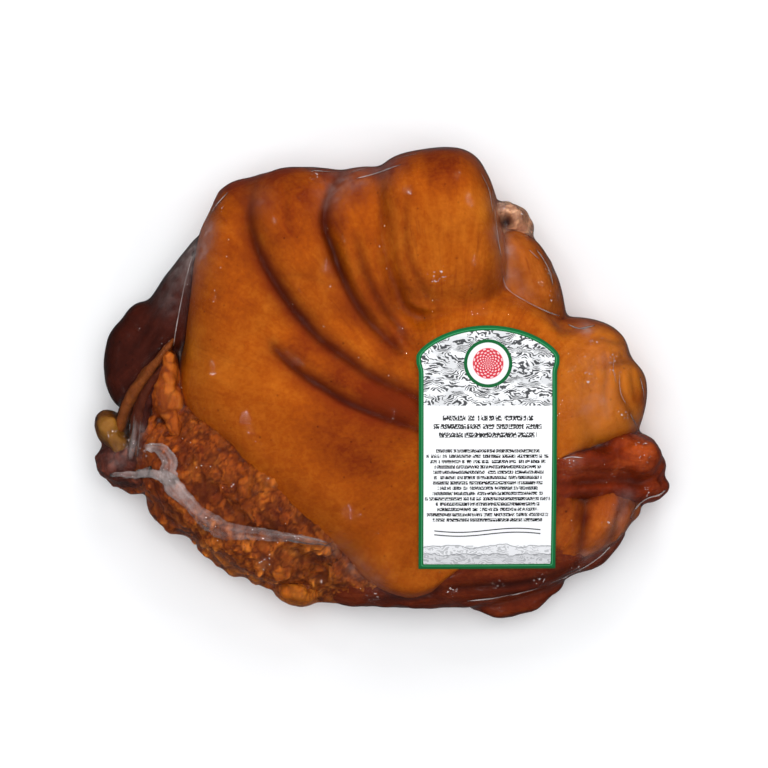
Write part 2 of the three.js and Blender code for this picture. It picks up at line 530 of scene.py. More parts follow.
# %% The masses of the rind
# Each mass: its middle, half its size each way, its turn in degrees, and how square and how full it is.
RIND_MASSES = [
    ((19.6, 52.2, 24), (22.7, 31, 31), 9, 3.1, 3.0),  # the broad fold
    ((-8, 38, 21), (17, 38.4, 29.5), 0, 2.8),
    ((-27, 38, 21), (24, 38.8, 29), 2, 3.0),
    ((-38, 36, 20), (21.4, 38.4, 28.5), 0, 2.7),
    ((-48, 27, 19), (24, 45.6, 27.5), -4, 2.6),  # the left fold
    ((-17, -8, 20), (58, 51, 31), -38),
    ((12, -49, 18), (31, 30.5, 25), 20),  # the tip
    ((34, -14, 20), (42, 49, 30), 12, 2.4, 3.2),
    ((38, -44, 16), (30, 25, 25.5)),
    ((54, -3, 18), (30, 24, 28)),
    ((69.4, 3.6, 18), (19.1, 18.4, 24), 0, 3.0),  # the right lobe
    ((71.9, -6.4, 18), (22.4, 19.8, 23.6), -15, 2.7),
]
rind = grow_together("rind", RIND_MASSES, grain=0.95, soften=22)
print("rind faces:", len(rind.data.polygons))

# %% The creases
# Each crease: its depth, how far the upper fold takes to roll down to it, how far the lower one slopes away,
# and its path towards the label, with the upper fold on its left. The width of the shade painted in its cut
# follows, if it isn't the usual one, and then how far along it is down to its whole depth.
CREASES = [
    (5.0, 4.4, 9.0, [(-46, 74), (-46.9, 68), (-48, 58.7), (-45.8, 49.2), (-42.4, 40.7), (-37.2, 32.2),
     (-31, 23.6), (-23, 14.6), (-14.2, 8), (-4.6, 1.2), (4.4, -3), (14, -8)], 2.2, 0.3),
    (5.2, 4.2, 9.0, [(-40, 13), (-37, 9), (-30, 2.6), (-22, -2.6), (-13.7, -7.8), (-4, -12), (6, -15.6),
     (15, -19)], 1.7),
    (6.2, 3.4, 8.0, [(-14, 76), (-16.4, 72), (-19.8, 65), (-21.4, 58), (-20.6, 52), (-18.3, 46),
     (-15.2, 37.6), (-10, 27.2), (-3, 18), (6, 9.6)], 1.9),
    (2.0, 2.4, 3.0, [(-10, 51), (-8, 43), (-5.8, 36.4), (-1.4, 28), (5, 19), (12, 10)], 1.6),
    (0.7, 1.4, 1.6, [(-39.4, 37.6), (-29, 37), (-20.6, 34.4), (-15.1, 33.2)], 0.8),
    (1.0, 1.6, 2.4, [(-1, 66), (-0.8, 50), (3, 36), (9, 25)]),
    (0.9, 1.6, 2.4, [(8, 68), (8, 48), (13, 34), (20, 25)]),
    (0.8, 1.6, 2.4, [(-34, 70), (-34.6, 58), (-32, 50)]),
    (1.6, 1.4, 2.0, [(84, 3), (84.6, -4.4), (86.6, -8.6), (89.5, -14.2), (92.3, -18)], 0.9),
    (1.1, 1.2, 1.6, [(72, 13), (78, 14.6), (84, 13), (89, 14)], 0.8),
    (1.0, 1.2, 1.6, [(78, 4), (84, 6.4), (92, 5)], 0.8),
    (1.0, 1.2, 1.8, [(79, 10), (79.6, 2), (78.6, -6), (80, -14)], 0.8),
    (0.8, 1.2, 1.8, [(88.4, 8), (88.8, 0), (90, -8)], 0.8),
    (0.5, 0.9, 1.2, [(74.6, 11), (75.4, 4), (74.4, -3)], 0.4),
    (0.5, 0.9, 1.2, [(81.6, 12), (82, 6), (81.4, 0)], 0.4),
    (0.5, 0.9, 1.2, [(76.6, -4), (77.4, -10), (77, -17)], 0.4),
    (0.5, 0.9, 1.2, [(82, -8), (83, -13), (85, -18)], 0.4),
    (0.4, 0.8, 1.0, [(71, 8), (71.4, 1), (70.6, -6)], 0.3),
]


CREASE_HEIGHTS = (14, 24)  # no crease shows below the first, and each is whole above the second


def press_creases(co, creases):
    """Lowers the points along the creases. Returns how much painted shade each point gets down in a cut, and
    how much beside one.
    """
    top = climb(co[:, 2], *CREASE_HEIGHTS)
    total, crease_shade, near = np.zeros((3, len(co)))

    def press(depth, over, under, path, shade_width=1.2, start=0.05):
        off, along, _ = beside(smooth_path(path), co[:, :2])
        fade = np.sin(np.pi * np.clip(0.06 + 0.9 * along, 0, 1)) ** 0.6 * climb(along, -0.2, start)
        # each side is a wide shoulder with a narrow cut in it
        roll = 0.8 * bell(off, over) + 0.2 * bell(off, 0.9)
        slope = 0.6 * bell(off, under) + 0.4 * bell(off, 1.1)
        strength = top * min(1.0, depth / 4) * fade
        total[:] += (depth * fade * np.where(off > 0, roll, slope)) ** 3
        # painted shade: darkest in the narrow cut, and a wider band beside it, widest on the lower fold's
        # side
        crease_shade[:] = np.maximum(crease_shade, strength * bell(off, shade_width))
        near[:] = np.maximum(near, strength * bell(off, np.where(off > 0, 2.6, 4.6)))

    for crease in creases:
        press(*crease)
    co[:, 2] -= top * np.cbrt(total)
    return co, crease_shade, near


def mark_skin(piece, crease_shade, near):
    """Keeps what the skin's painted shade follows: the creases' cuts and the bands beside them, and how
    steeply each point stands.
    """
    mark(piece, "crease_shade", crease_shade)
    mark(piece, "near", near)
    mark_steep(piece)


# %% The cut edge along the lower left
RIND_EDGE = smooth_path([
    (-54, 92), (-60.4, 67.4), (-66.7, 52), (-69.5, 38), (-71.5, 22), (-74.5, 8), (-75.6, -2), (-72, -9.4),
    (-65, -16.5), (-55, -23.8), (-48.3, -32.5), (-40.6, -40.2), (-33.4, -46.6), (-26.3, -53.4), (-19.5, -60),
    (-13, -66.4), (-6, -72.6), (2, -77), (9.5, -78.8), (17, -76.8), (23, -72.4), (30, -67), (38, -58),
    (45, -46), (52, -35.6), (61, -29.4), (69, -25.8), (77, -23.8), (84, -21), (92, -19.6), (112, -17)])


WALL_TOP, UNDERCUT = 38, 0.10  # how far the wall leans in for each millimetre below its top


def trim_edge(co):
    """Draws what lies beyond the cut edge back to it, further the deeper it lies.

    Returns the points, and how far inside the edge each one is."""
    off, along, nearest = beside(RIND_EDGE, co[:, :2])
    beyond = (off < 0) & (along < 0.999)
    undercut = UNDERCUT * np.clip(WALL_TOP - co[:, 2], 0, 30)
    back = RIND_EDGE[nearest] + leftward(RIND_EDGE)[nearest] * undercut[:, None]
    co[beyond, :2] = back[beyond]
    return co, np.where(along < 0.999, off, 50.0)


# %% Pressing, trimming and a little unevenness
RIND_GRAIN = 0.9
DIMPLE = (39, 34)


def sculpt_rind():
    """Lumps, the trimmed edge and its shoulder, and then creases, a dimple and the bed under the label."""
    co = points_of(rind)
    co, inside = trim_edge(swollen(rind, 0.9 * rough(co, 30) + 0.35 * rough(co, 11, shift=5)))
    shoulder = 5.5 * np.exp(-np.clip(inside, 0, None) / 9) + 1.6 * bell(inside, 1.4)
    co[:, 2] -= shoulder * climb(co[:, 2], 14, 30)
    move_points(rind, co)
    regrow(rind, RIND_GRAIN, 3)
    co, crease_shade, near = press_creases(points_of(rind), CREASES)
    co[:, 2] -= 1.2 * spot(co, DIMPLE, 4.5) * climb(co[:, 2], 16, 28)
    move_points(rind, rest_on_table(press_bed(co, normals_of(rind)[:, 2], below=0.9)))
    mark_skin(rind, crease_shade, near)


sculpt_rind()
print("rind after trimming:", len(rind.data.polygons))

# %% [markdown]
# ## The other folds
# Beside the rind lie smaller folds that belong to other parts of the hock: a dark, smooth fold on the left,
# a lobe at the upper right, a dark roll and a lighter lobe at the lower right, and a dark band along the
# bottom. They are made like the rind, each as a piece of its own, because where two pieces only touch there
# is a sharp, shaded line between them that a single skin would smooth away.

# %% Masses of the other folds
# Masses and creases are given as the rind's are. A list is a roll, given by its knots.
SIDE_FOLDS = {
    "dark_fold": dict(
        grain=1.0, soften=10, wrinkle=(0.5, 12),
        masses=[
            ((-70.0, 30.2, 15.2), (36.5, 11.4, 14.4), 55),
            ((-86, 20.4, 13.6), (7.2, 8.0, 11.2), 55),
            ((-87.6, 5.6, 14.6), (13.4, 17.6, 13.0))],
        creases=[
            (1.0, 1.6, 2.6, [(-72, 44), (-79, 30), (-86, 17), (-93, 7)]),
            (0.9, 1.4, 2.0, [(-76, 27), (-81, 18), (-86, 6), (-90, -4)])]),
    "upper_lobe": dict(
        grain=0.9, soften=8, wrinkle=(0.5, 9),
        masses=[
            ((49.6, 33.6, 19.6), (13.1, 21.6, 18.6), 23)],
        creases=[
            (0.8, 1.6, 2.4, [(46, 46), (48, 38), (52, 31), (57, 27)])]),
    "end_roll": dict(
        grain=0.75, soften=5, wrinkle=(0.9, 6),
        masses=[
            [(50, -33, 23, 7.4, 22), (62, -31.2, 22.5, 7.4, 21.4), (74, -29.6, 20, 7.0, 17.6),
             (86, -28.6, 18, 7.0, 15.4), (95, -31, 15, 6.6, 12.6), (100.6, -35.8, 11.5, 4.8, 9)],
            ((91.6, -27.8, 17.4), (8.2, 8.0, 15.4), -30),
            ((83.4, -23.4, 15.6), (8.6, 6.6, 15.0), -10),
            [(50, -37, 21, 5, 20), (66, -36, 19, 5, 19), (82, -35.4, 15.4, 5, 15.4), (96, -35.6, 12, 5, 11)],
            [(50, -41, 20, 5.6, 21), (64, -40, 19, 5.2, 20.4), (78, -39.4, 16, 5.2, 17.6),
             (90, -39.6, 13, 5.2, 14), (103.4, -38.6, 9.6, 4.4, 10)]],
        creases=[
            (1.9, 1.8, 1.8, [(56, -37.4), (66, -36.8), (76, -36.2), (86, -36), (94, -38)]),
            (0.9, 1.2, 1.4, [(56, -33), (66, -32.6), (76, -32.4), (84, -33)]),
            (0.9, 1.2, 1.2, [(60, -41.4), (70, -41), (80, -40.4), (88, -41)]),
            (1.4, 1.4, 2.0, [(84.4, -24.6), (83.6, -27), (84.6, -31)])]),
    "lower_lobe": dict(
        grain=0.85, soften=5, wrinkle=(0.7, 8),
        masses=[
            ((56, -49.6, 20), (15.4, 13.8, 21.5)),
            ((72, -50.6, 15.6), (19.4, 12.6, 18), 30),
            ((84, -46, 11), (9, 7, 10.4), 20)],
        creases=[
            (2.6, 2.4, 2.2, [(72.4, -40), (71.8, -48), (71, -56), (70, -64)]),
            (1.6, 1.6, 1.6, [(87, -43), (84, -49), (82, -56), (80, -62)])]),
    "bottom_band": dict(
        grain=0.9, soften=5, wrinkle=(0.9, 8),
        masses=[
            [(-30, -69, 10, 8, 9.6), (-12, -71.6, 12, 10, 11.8), (8, -72, 13, 10.4, 13),
             (28, -69.6, 15, 12.4, 14.6), (48, -65, 17, 13, 16.4), (66, -60.4, 14.6, 10.6, 14),
             (77, -59, 11, 7.8, 10), (84, -55, 8, 4.6, 7.4), (89, -48.6, 5, 3.4, 4.6)],
            [(26, -76, 8, 4, 7.4), (38, -79.2, 8.4, 6.2, 8), (49, -80.6, 8.4, 5.8, 8),
             (58, -76, 8, 4.6, 7.4), (66, -71.2, 7, 3, 6)]],
        creases=[
            (3.0, 2.0, 2.0, [(22, -75), (36, -73.6), (48, -73), (60, -70), (72, -65)]),
            (1.8, 1.6, 1.8, [(40, -84), (43, -79), (49, -76)]),
            (1.4, 1.6, 2.0, [(-10, -80), (8, -78.4), (24, -74)])]),
}


def make_side_fold(name, grain, soften, wrinkle, masses, creases):
    """A fold with creases, and with wrinkles of a height and a size."""
    piece = grow_together(name, masses, grain, soften)
    height, size = wrinkle
    co = swollen(piece, height * rough(points_of(piece), size, shift=len(name), octaves=3))
    co, crease_shade, near = press_creases(co, creases)
    move_points(piece, rest_on_table(press_bed(co, normals_of(piece)[:, 2], below=1.4)))
    mark_skin(piece, crease_shade, near)
    return piece


side_folds = {name: make_side_fold(name, **fold) for name, fold in SIDE_FOLDS.items()}
print({name: len(piece.data.polygons) for name, piece in side_folds.items()})

# %% [markdown]
# ## Bare meat
# Below the rind's cut edge the hock's own meat lies bare. It is a mass of short bundles, a few millimetres
# across, pressed together. A bump map would look flat from the side, so the bundles are real relief: seeds
# are strewn over the surface, each point swells by how much nearer it is to its own seed than to the next
# one, and the places halfway between two seeds stay low as seams. Each bundle also gets its own tone, and
# where it swells higher it is painted lighter, as painted light.

# %% Bundles pressed into a surface
SEAM_WIDTH = 1.1
SEED_DENSITY = 0.8  # seeds for each patch of surface as large as a bundle
POINT_SPACING = 0.8  # about how far apart a piece's points are


def swell_bundles(piece, size, stretch, height, seed_shift=0.0):
    """Presses in bundles about size millimetres across, drawn out along stretch. Marks seams, and tones that
    are painted lighter where a bundle swells higher.
    """
    co = points_of(piece)
    warp = np.stack([rough(co, 2.2 * size, shift + seed_shift) for shift in (3.0, 9.0, 15.0)], 1)
    warp += 0.5 * np.stack([rough(co, 0.8 * size, shift + seed_shift) for shift in (21.0, 27.0, 33.0)], 1)
    # places are bent by noise, and drawn together along the stretch, so that bundles come out long and curved
    axis = np.array(stretch, float)
    length = np.linalg.norm(axis)
    axis /= length
    place = co + 0.9 * size * warp
    place -= np.outer(place @ axis, axis) * (1 - 1 / length)
    crowd = np.exp(1.6 * rough(co, 4 * size, shift=40 + seed_shift))
    count = max(8, int(len(co) * SEED_DENSITY / (length * (size / POINT_SPACING) ** 2)))
    seeds = place[chance.choice(len(place), count, replace=False, p=crowd / crowd.sum())]
    tree = KDTree(len(seeds))
    for index, seed in enumerate(seeds):
        tree.insert(seed, index)
    tree.balance()
    tones = chance.random(len(seeds))
    seam, tone = np.zeros(len(co)), np.zeros(len(co))
    for index, here in enumerate(place):
        _, seeds_near, gaps = zip(*tree.find_n(here, 3))
        seam[index] = (gaps[1] - gaps[0]) / size
        share = [1 / (0.05 + gap**3) for gap in gaps]
        tone[index] = sum(tones[seed] * part for seed, part in zip(seeds_near, share)) / sum(share)
    grit = 0.35 * rough(co, 0.5 * size, shift=50, octaves=3)
    swell = climb(seam, 0.0, 0.8) - 0.6 + 0.9 * (tone - 0.5) + grit
    move_points(piece, swollen(piece, height * swell))
    mark(piece, "seam", 1 - climb(seam, 0.0, SEAM_WIDTH / size))
    # a bundle's tone is lighter where it swells higher: painted light on the raised parts
    mark(piece, "tone", np.clip(0.75 * tone + 0.45 * swell + 0.2, 0, 1))


# %% The bare meat of the lower left
MEAT_MASSES = [
    ((-55, -43, 17.5), (43, 20, 18.5), -38),
    ((-44, -38, 20), (38, 17, 21), -40),
    ((-33, -65, 12), (27.5, 13, 12), -22),
    ((-13, -68.5, 13), (19.5, 10.8, 13.5), -2),
    ((-68, -19, 18), (9, 14, 15), 34),
    ((-76.4, -46.2, 12), (7.4, 10.8, 12), 44),
    ((-57.6, -61.2, 9), (11.6, 6.2, 9), -38),
    ((-91.6, -36.6, 8.6), (8.8, 3.9, 8), -10),
]
meat = grow_together("bare_meat", MEAT_MASSES, grain=0.66, soften=8)


def sculpt_meat():
    """Presses in fine bundles and then coarse ones, and keeps the marks of both. The left side is darker."""
    co = points_of(meat)
    move_points(meat, swollen(meat, 1.8 * rough(co, 17, shift=2) + 1.0 * rough(co, 8, shift=8)))
    swell_bundles(meat, size=2.3, stretch=(0.3, 1.9, 0.3), height=0.5, seed_shift=30)
    fine_seams, fine_tones = marked(meat, "seam"), marked(meat, "tone")
    swell_bundles(meat, size=4.6, stretch=(0.5, 1.8, 0.4), height=0.95)
    co = rest_on_table(points_of(meat))
    move_points(meat, co)
    mark(meat, "seam", np.maximum(marked(meat, "seam"), 0.6 * fine_seams))
    tones = 0.7 * marked(meat, "tone") + 0.3 * fine_tones
    shaded_side = 0.4 * climb(-co[:, 0], 62, 80)
    mark(meat, "tone", tones + 0.3 * climb(-co[:, 1], 50, 62) - shaded_side)


sculpt_meat()
print("bare meat faces:", len(meat.data.polygons))

# %% [markdown]
# ## Strips, knuckle and torn end
# At the left the hock was cut through, and a few smaller things lie over each other: two flat strips of
# rind and fat that run down from the dark fold, a knuckle of meat beside them, and the end where the meat
# was torn from the bone. At the upper right a knob of the joint stands out. They are small, so they are
# given a finer grain.

# %% Masses of the small cuts
SMALL_CUTS = {
    "outer_strip": dict(bundle=(5.0, 0.05), soften=6, masses=[
        [(-75.4, 15, 27, 0.9, 4), (-77.6, 11.6, 27.6, 1.4, 4), (-81, 7.4, 27.4, 1.9, 4),
         (-84.4, 3, 27, 2.3, 4), (-87.8, -1.6, 26.4, 2.4, 4), (-91, -6.4, 25.2, 2.5, 4),
         (-93.4, -11.4, 23, 2.4, 4), (-95.4, -17, 20, 2.2, 4), (-95.6, -21, 17, 1.4, 3)]]),
    "inner_strip": dict(bundle=(5.0, 0.05), soften=6, masses=[
        [(-76, 10, 26, 0.9, 4), (-79.6, 4.6, 27, 1.6, 4), (-83.4, -1, 27.2, 2.2, 4),
         (-86.6, -7, 26.4, 2.4, 4), (-88.6, -13, 25, 2.4, 4), (-89.8, -20, 23, 2.2, 4),
         (-90.4, -27, 19, 1.6, 4)]]),
    "dark_strip": dict(bundle=(5.0, 0.1), masses=[
        [(-76.4, 8, 24, 1.4, 5), (-80.4, 1, 25, 2.2, 5), (-84, -6, 25, 2.4, 5), (-86, -13, 24, 2.4, 5),
         (-86.8, -21, 21, 2.2, 5)]]),
    "knuckle": dict(bundle=(6.0, 0.3), soften=14, dents=0.8, masses=[
        ((-78.2, -6.4, 21), (7.4, 7.6, 12), 12),
        ((-77.6, 0.6, 21), (5.0, 7.0, 12), 12),
        ((-77.0, 6.4, 21), (3.0, 5.6, 11.6), 10),
        ((-83.6, -16.4, 17.6), (2.6, 6.6, 11), -6),
        ((-75.0, -16.6, 20.2), (4.4, 8.8, 11.4), 16),
        ((-69.4, -22.4, 20), (6.4, 7.6, 11.8), 40)]),
    "golden_lump": dict(bundle=(4.6, 0.5), masses=[
        ((-32.4, -76, 11), (8.0, 5.4, 13), -22),
        ((-27, -76.6, 10), (4.4, 4.4, 11), 20)]),
    "joint_knob": dict(bundle=(3.2, 0.5), masses=[
        ((44.6, 58.4, 20), (7.4, 5.5, 10.6), -14, 2.4, 2.3),
        ((49.3, 54.5, 17.6), (4.6, 4.6, 10), 0, 2.4, 2.3),
        ((42.6, 51, 16), (6, 7, 12))]),
    "torn_end": dict(bundle=(3.2, 0.8), masses=[
        ((-91.4, -30, 13.6), (12.8, 8.6, 10.4), -10),
        ((-85, -25, 14), (8, 8, 10), 20),
        ((-92, -35, 10), (9.6, 4.8, 8), -8)]),
}
CUT_GRAIN = 0.6
CUT_STRETCH = (-0.9, 1.7, 0.2)
HOLLOW = (43.8, 56.8)  # where the joint was, in the knob


def make_small_cut(name, masses, bundle, soften=3, dents=0.6):
    """A small piece with dents, bundles of a size and a height, and the hollow, painted dark as shade, if it
    lies there.
    """
    piece = grow_together(name, masses, CUT_GRAIN, soften)
    move_points(piece, swollen(piece, dents * rough(points_of(piece), 5.0, shift=len(name), octaves=3)))
    size, height = bundle
    swell_bundles(piece, size, CUT_STRETCH, height)
    co = rest_on_table(points_of(piece))
    shaded_hollow = spot(co, HOLLOW, 2.0)
    co[:, 2] -= 4 * shaded_hollow * climb(co[:, 2], 16, 26)
    move_points(piece, co)
    mark(piece, "shaded_hollow", shaded_hollow)
    mark_skin(piece, crease_shade=0 * shaded_hollow, near=0 * shaded_hollow)
    return piece


small_cuts = {name: make_small_cut(name, **crease_shade) for name, crease_shade in SMALL_CUTS.items()}
print({name: len(piece.data.polygons) for name, piece in small_cuts.items()})

# %% [markdown]
# ## Fat
# A knob of fat has rendered out at the left rim and set. Fat is smooth, softly dented and lighter than
# everything round it, so it is its own piece with its own finish.

# %% The knob of fat
FAT_MASSES = [
    ((-99.1, -17.4, 17.0), (4.9, 6.4, 8.4), 24, 2.4, 2.2, 4),
    ((-96.8, -21.6, 16.8), (4.3, 5.8, 8.2), 36, 2.4, 2.2, 4),
]
fat = grow_together("fat_knob", FAT_MASSES, grain=0.6, soften=8)
move_points(fat, rest_on_table(swollen(fat, 0.75 * rough(points_of(fat), 4.5, octaves=3))))
mark_steep(fat)
contents = [rind, meat, fat, *side_folds.values(), *small_cuts.values()]
print("pieces inside the film:", len(contents))

# %% [markdown]
# ## The film
# Vacuum film is a bag that is emptied and dipped in hot water, so that it shrinks. It touches the meat
# nearly everywhere, spans the hollows like a drumskin, and leaves thin pleats where there is too much of
# it. A cloth simulation could find that shape, but slowly and a little differently each time. A skin over
# the joined contents does the same: it is smoothed, which pulls it tight, then pushed back outside, again
# and again.

# %% Drawing the film tight
FILM_GAP = 0.35
FILM_FLOOR = 0.08
CORE_GRAIN, FILM_GRAIN = 0.95, 1.0
SUCTION = 0.4  # how much of the way the vacuum draws it into a hollow in each round


def joined_copy(pieces, name):
    bm = bmesh.new()
    for piece in pieces:
        bm.from_mesh(piece.data)
    return piece_from(bm, name)


def nearest_on(target, piece):
    """For each point of the piece: the nearest spot on the target, and how far off it is."""
    tree = BVHTree.FromObject(target, bpy.context.evaluated_depsgraph_get())
    found = [tree.find_nearest(Vector(place)) for place in points_of(piece)]
    return np.array([hit[0] for hit in found]), np.array([hit[3] for hit in found])


def make_film(name, rounds, softness):
    """Returns the film, and the joined contents that it is drawn over."""
    core = joined_copy(contents, "film_core")
    regrow(core, CORE_GRAIN, 1)
    film = joined_copy([core], name)
    regrow(film, FILM_GRAIN, 6)
    for _ in range(rounds):
        modify(film, "SMOOTH", factor=0.5, iterations=softness)
        modify(film, "SHRINKWRAP", target=core, wrap_mode="OUTSIDE", offset=FILM_GAP)
        keep_modified(film)
        spots, gaps = nearest_on(core, film)
        co = points_of(film)
        move_points(film, co + (spots - co) * SUCTION * climb(gaps, 1.0, 4.0)[:, None])
    # under the label the film stays just below the bed
    co = points_of(film)
    under_label = (np.abs(co[:, :2] - label_centre) < label_half + 1).all(1) & (co[:, 2] > 30)
    co[under_label, 2] = np.minimum(co[under_label, 2], bed_height(co[under_label, :2]) - 0.1)
    move_points(film, rest_on_table(co, FILM_FLOOR, tuck=0))
    return film, core


film, film_core = make_film("film", rounds=4, softness=9)
print("film faces:", len(film.data.polygons))

# %% How far the film stands off what is under it
_, gaps = nearest_on(film_core, film)
HOLLOW_MILK = 0.14  # how milky the film is where it spans a hollow
# Each hazy place: x, y, how far it reaches, and how milky it is. Most are milky film; some, such as the
# streak on the end roll, are painted sheen where wet film catches the light.
HAZE_AND_SHEEN = [
    (-12, 73, 6, 0.08), (-19, 66, 5, 0.07), (-44, 64, 4, 0.04), (44.2, 46, 3.2, 0.12), (45.4, 38, 3.6, 0.08),
    (50, 31, 3.4, 0.05), (85, -47.6, 4, 0.06), (83, -54, 3, 0.1), (73, -62.6, 3, 0.1), (79, -60.4, 3, 0.1),
    (-65, 54, 4, 0.2), (-68, 46, 5, 0.2), (-73, 38, 6, 0.08), (-77, 28, 5, 0.06), (72.4, 18.6, 2.4, 0.22),
    (-96.6, -29, 4, 0.07), (-90, -25, 3, 0.14), (-88, -18, 2.6, 0.1), (68, -28.6, 3, 0.06),
    (92, -16.6, 3, 0.1), (-2, 77.6, 6, 0.1), (41.4, 63, 3, 0.18), (87, -42, 3, 0.08), (-17, -60, 3.6, 0.07),
    (-10, -66.6, 4, 0.08), (-3, -71.6, 4, 0.06), (41.4, 52, 3, 0.18), (75, -9, 8, 0.06), (77, 6, 8, 0.04),
]


def mark_haze():
    """Milkiness where the film spans a hollow, and patches of it at the hazy places that face up, some of
    them painted sheen.
    """
    co = points_of(film)
    patchy = np.clip(1 + 0.9 * rough(co, 3.4, octaves=3), 0, 2) * climb(normals_of(film)[:, 2], 0.1, 0.4)
    mark(film, "milk", HOLLOW_MILK * climb(gaps, 0.6, 1.6) + patchy * sum_of_spots(co, HAZE_AND_SHEEN))


mark_haze()
bpy.data.objects.remove(film_core)
print("film stands off, mm: median", round(float(np.median(gaps)), 2), "most", round(float(gaps.max()), 1))

# %% Puckers, where the film shrank unevenly and catches the light, and where white specks are painted on it as glints
PUCKERS_AND_GLINTS = [
    (82.5, 8), (82.4, 2.6), (72.2, 0.7), (72, 7), (92.4, -22), (66, -28.6), (41.2, -72.9), (68.6, -68.1),
    (42.4, 61.4), (60, 39), (17.3, 36), (21.4, 37.7), (-4, -78), (-92, -22), (86, -12), (80, -52), (96, -40),
    (24, -76), (52, 53), (-79, 13), (93.6, -27.6), (-98, -19), (58, -62), (-60, 62), (-25, 74), (88, 10),
    (-86, -25.6), (41.4, 55.6), (41, 67), (48.6, 60.4), (76, 13.6), (60.6, 30), (84, -33), (56, -72),
]


def mark_puckers_and_glints(reach):
    """Marks the puckers that face up, which also place the painted glints, and how steeply the film stands.
    """
    co = points_of(film)
    strength = np.max([spot(co, place, reach) for place in PUCKERS_AND_GLINTS], axis=0)
    mark(film, "pucker_and_glint", strength * climb(normals_of(film)[:, 2], 0.15, 0.5))
    mark_steep(film)


mark_puckers_and_glints(reach=2.8)

# %% [markdown]
# ## Pleats and ridges of the film
# Where the film had slack to lose it folded over itself. A pleat is several layers with air between them,
# so it looks milky, and a narrow ridge only shows as a pale line. The pale ridges along the rims are also
# painted highlights, where the film's edges catch the light. Both are ribbons of film laid along a
# path: each row of a grid is dropped onto the film from above, and noise crumples it and frays its edges.

# %% A ribbon laid onto the film
PLEAT_THICKNESS = 0.05
PLEAT_LIFT = 0.12
film_tree = BVHTree.FromObject(film, bpy.context.evaluated_depsgraph_get())


def height_of_film(x, y):
    """The film's height there, or far below the table where there is no film."""
    hit = film_tree.ray_cast(Vector((x, y, 200)), Vector((0, 0, -1)))[0]
    return hit.z if hit else -100.0


def along_line(values, share):
    """Values spread evenly along a line, read at those shares of its length."""
    return np.interp(share, np.linspace(0, 1, len(values)), values)


def add_ribbon(bm, path, widths, rise=0.4, crumple=0.3, fray=0.25, milk=(0.2, 0.2), edges=0.0, columns=8):
    """Adds a pleat along a plan path. widths and milk are spread evenly along it.

    rise is how proud its middle stands, and edges is how much milkier its borders are."""
    milk_layer = bm.verts.layers.float.get("milk") or bm.verts.layers.float.new("milk")
    line = smooth_path(path, steps=max(4, int(16 * len(widths) / len(path))))
    left = leftward(line)
    walked = np.cumsum(np.linalg.norm(np.gradient(line, axis=0), axis=1))
    share = np.linspace(0, 1, len(line))
    half, milky = along_line(widths, share) / 2, along_line(milk, share)
    ends = climb(share, 0.0, 0.12) * (1 - climb(share, 0.88, 1.0))
    for vert in bmesh.ops.create_grid(bm, x_segments=columns, y_segments=len(line) - 1, size=1)["verts"]:
        u = vert.co.x
        row = round((vert.co.y + 1) / 2 * (len(line) - 1))
        frayed = 1 + fray * noise.noise(Vector((*line[row] * 0.4, 5 * np.sign(u))))
        x, y = line[row] + left[row] * u * half[row] * frayed
        drawn = noise.fractal(Vector((walked[row] * 0.09, u * half[row] * 0.8, path[0][0])), 1.0, 2.0, 3)
        kink = noise.noise(Vector((walked[row] * 0.5, u * 0.8, path[0][1])))
        proud = rise * (1 - u * u) + crumple * abs(drawn + 0.4 * kink)
        vert.co = (x, y, height_of_film(x, y) + PLEAT_LIFT + proud * ends[row])
        border = bell((1 - abs(u)) * half[row], 0.45) * (0.6 + 0.8 * kink)
        fade = 1 - abs(u) ** (6 if edges else 1.5)
        milkiness = milky[row] * (1 + 0.9 * drawn + 0.3 * kink) * fade + edges * border
        vert[milk_layer] = max(0.0, milkiness) * ends[row]


def make_ribbons(name, ribbons):
    """One piece from several ribbons, without what would hang down a flank or off the rim."""
    bm = bmesh.new()
    for ribbon in ribbons:
        add_ribbon(bm, **ribbon)
    bm.normal_update()
    hanging = [face for face in bm.faces if abs(face.normal.z) < 0.32 or face.calc_center_median().z < 1]
    bmesh.ops.delete(bm, geom=hanging, context="FACES")
    piece = piece_from(bm, name)
    modify(piece, "SOLIDIFY", thickness=PLEAT_THICKNESS, offset=1)
    keep_modified(piece)
    return piece


# %% The milky pleat over the meat, and the ridges
PLEATS = [
    dict(rise=0.6, crumple=0.4, edges=0.11, columns=20,
         milk=(0.15, 0.24, 0.25, 0.11, 0.08, 0.09, 0.09, 0.04),
         widths=(1.5, 3, 5.2, 6.8, 6.2, 5.2, 6.0, 7.2, 5.8, 4.8, 4.0, 3.2, 2.2, 1.0),
         path=[(-89, -34.6), (-83, -33.6), (-78.2, -35), (-75, -38.4), (-71.6, -42), (-67.4, -46.6),
               (-62.6, -50.8), (-57, -53.8), (-49, -54.8), (-40, -55.6), (-31, -56.8), (-23, -58),
               (-17.6, -59.6)]),
    dict(rise=0.8, crumple=0.6, fray=0.5, edges=0.3, columns=22,
         milk=(0.3, 0.12, 0.14, 0.22), widths=(2.0, 3.8, 5.0, 5.8, 6.2, 6),
         path=[(-86.6, -24.4), (-82.8, -24.2), (-79, -25.6), (-77, -29), (-77.2, -33.4), (-76, -37.6)]),
    dict(fray=0.4, edges=0.1, milk=(0.06, 0.16, 0.24), widths=(1, 2.2, 3, 3.4),
         path=[(-99, -34.4), (-95, -34), (-90, -34.2), (-83, -32.6)]),
    dict(rise=0.3, crumple=0.4, fray=0.4, milk=(0.04, 0.14), widths=(1.0, 2.2, 3.0, 2.0),
         path=[(-89, -14), (-90, -20), (-91.6, -29)]),
]
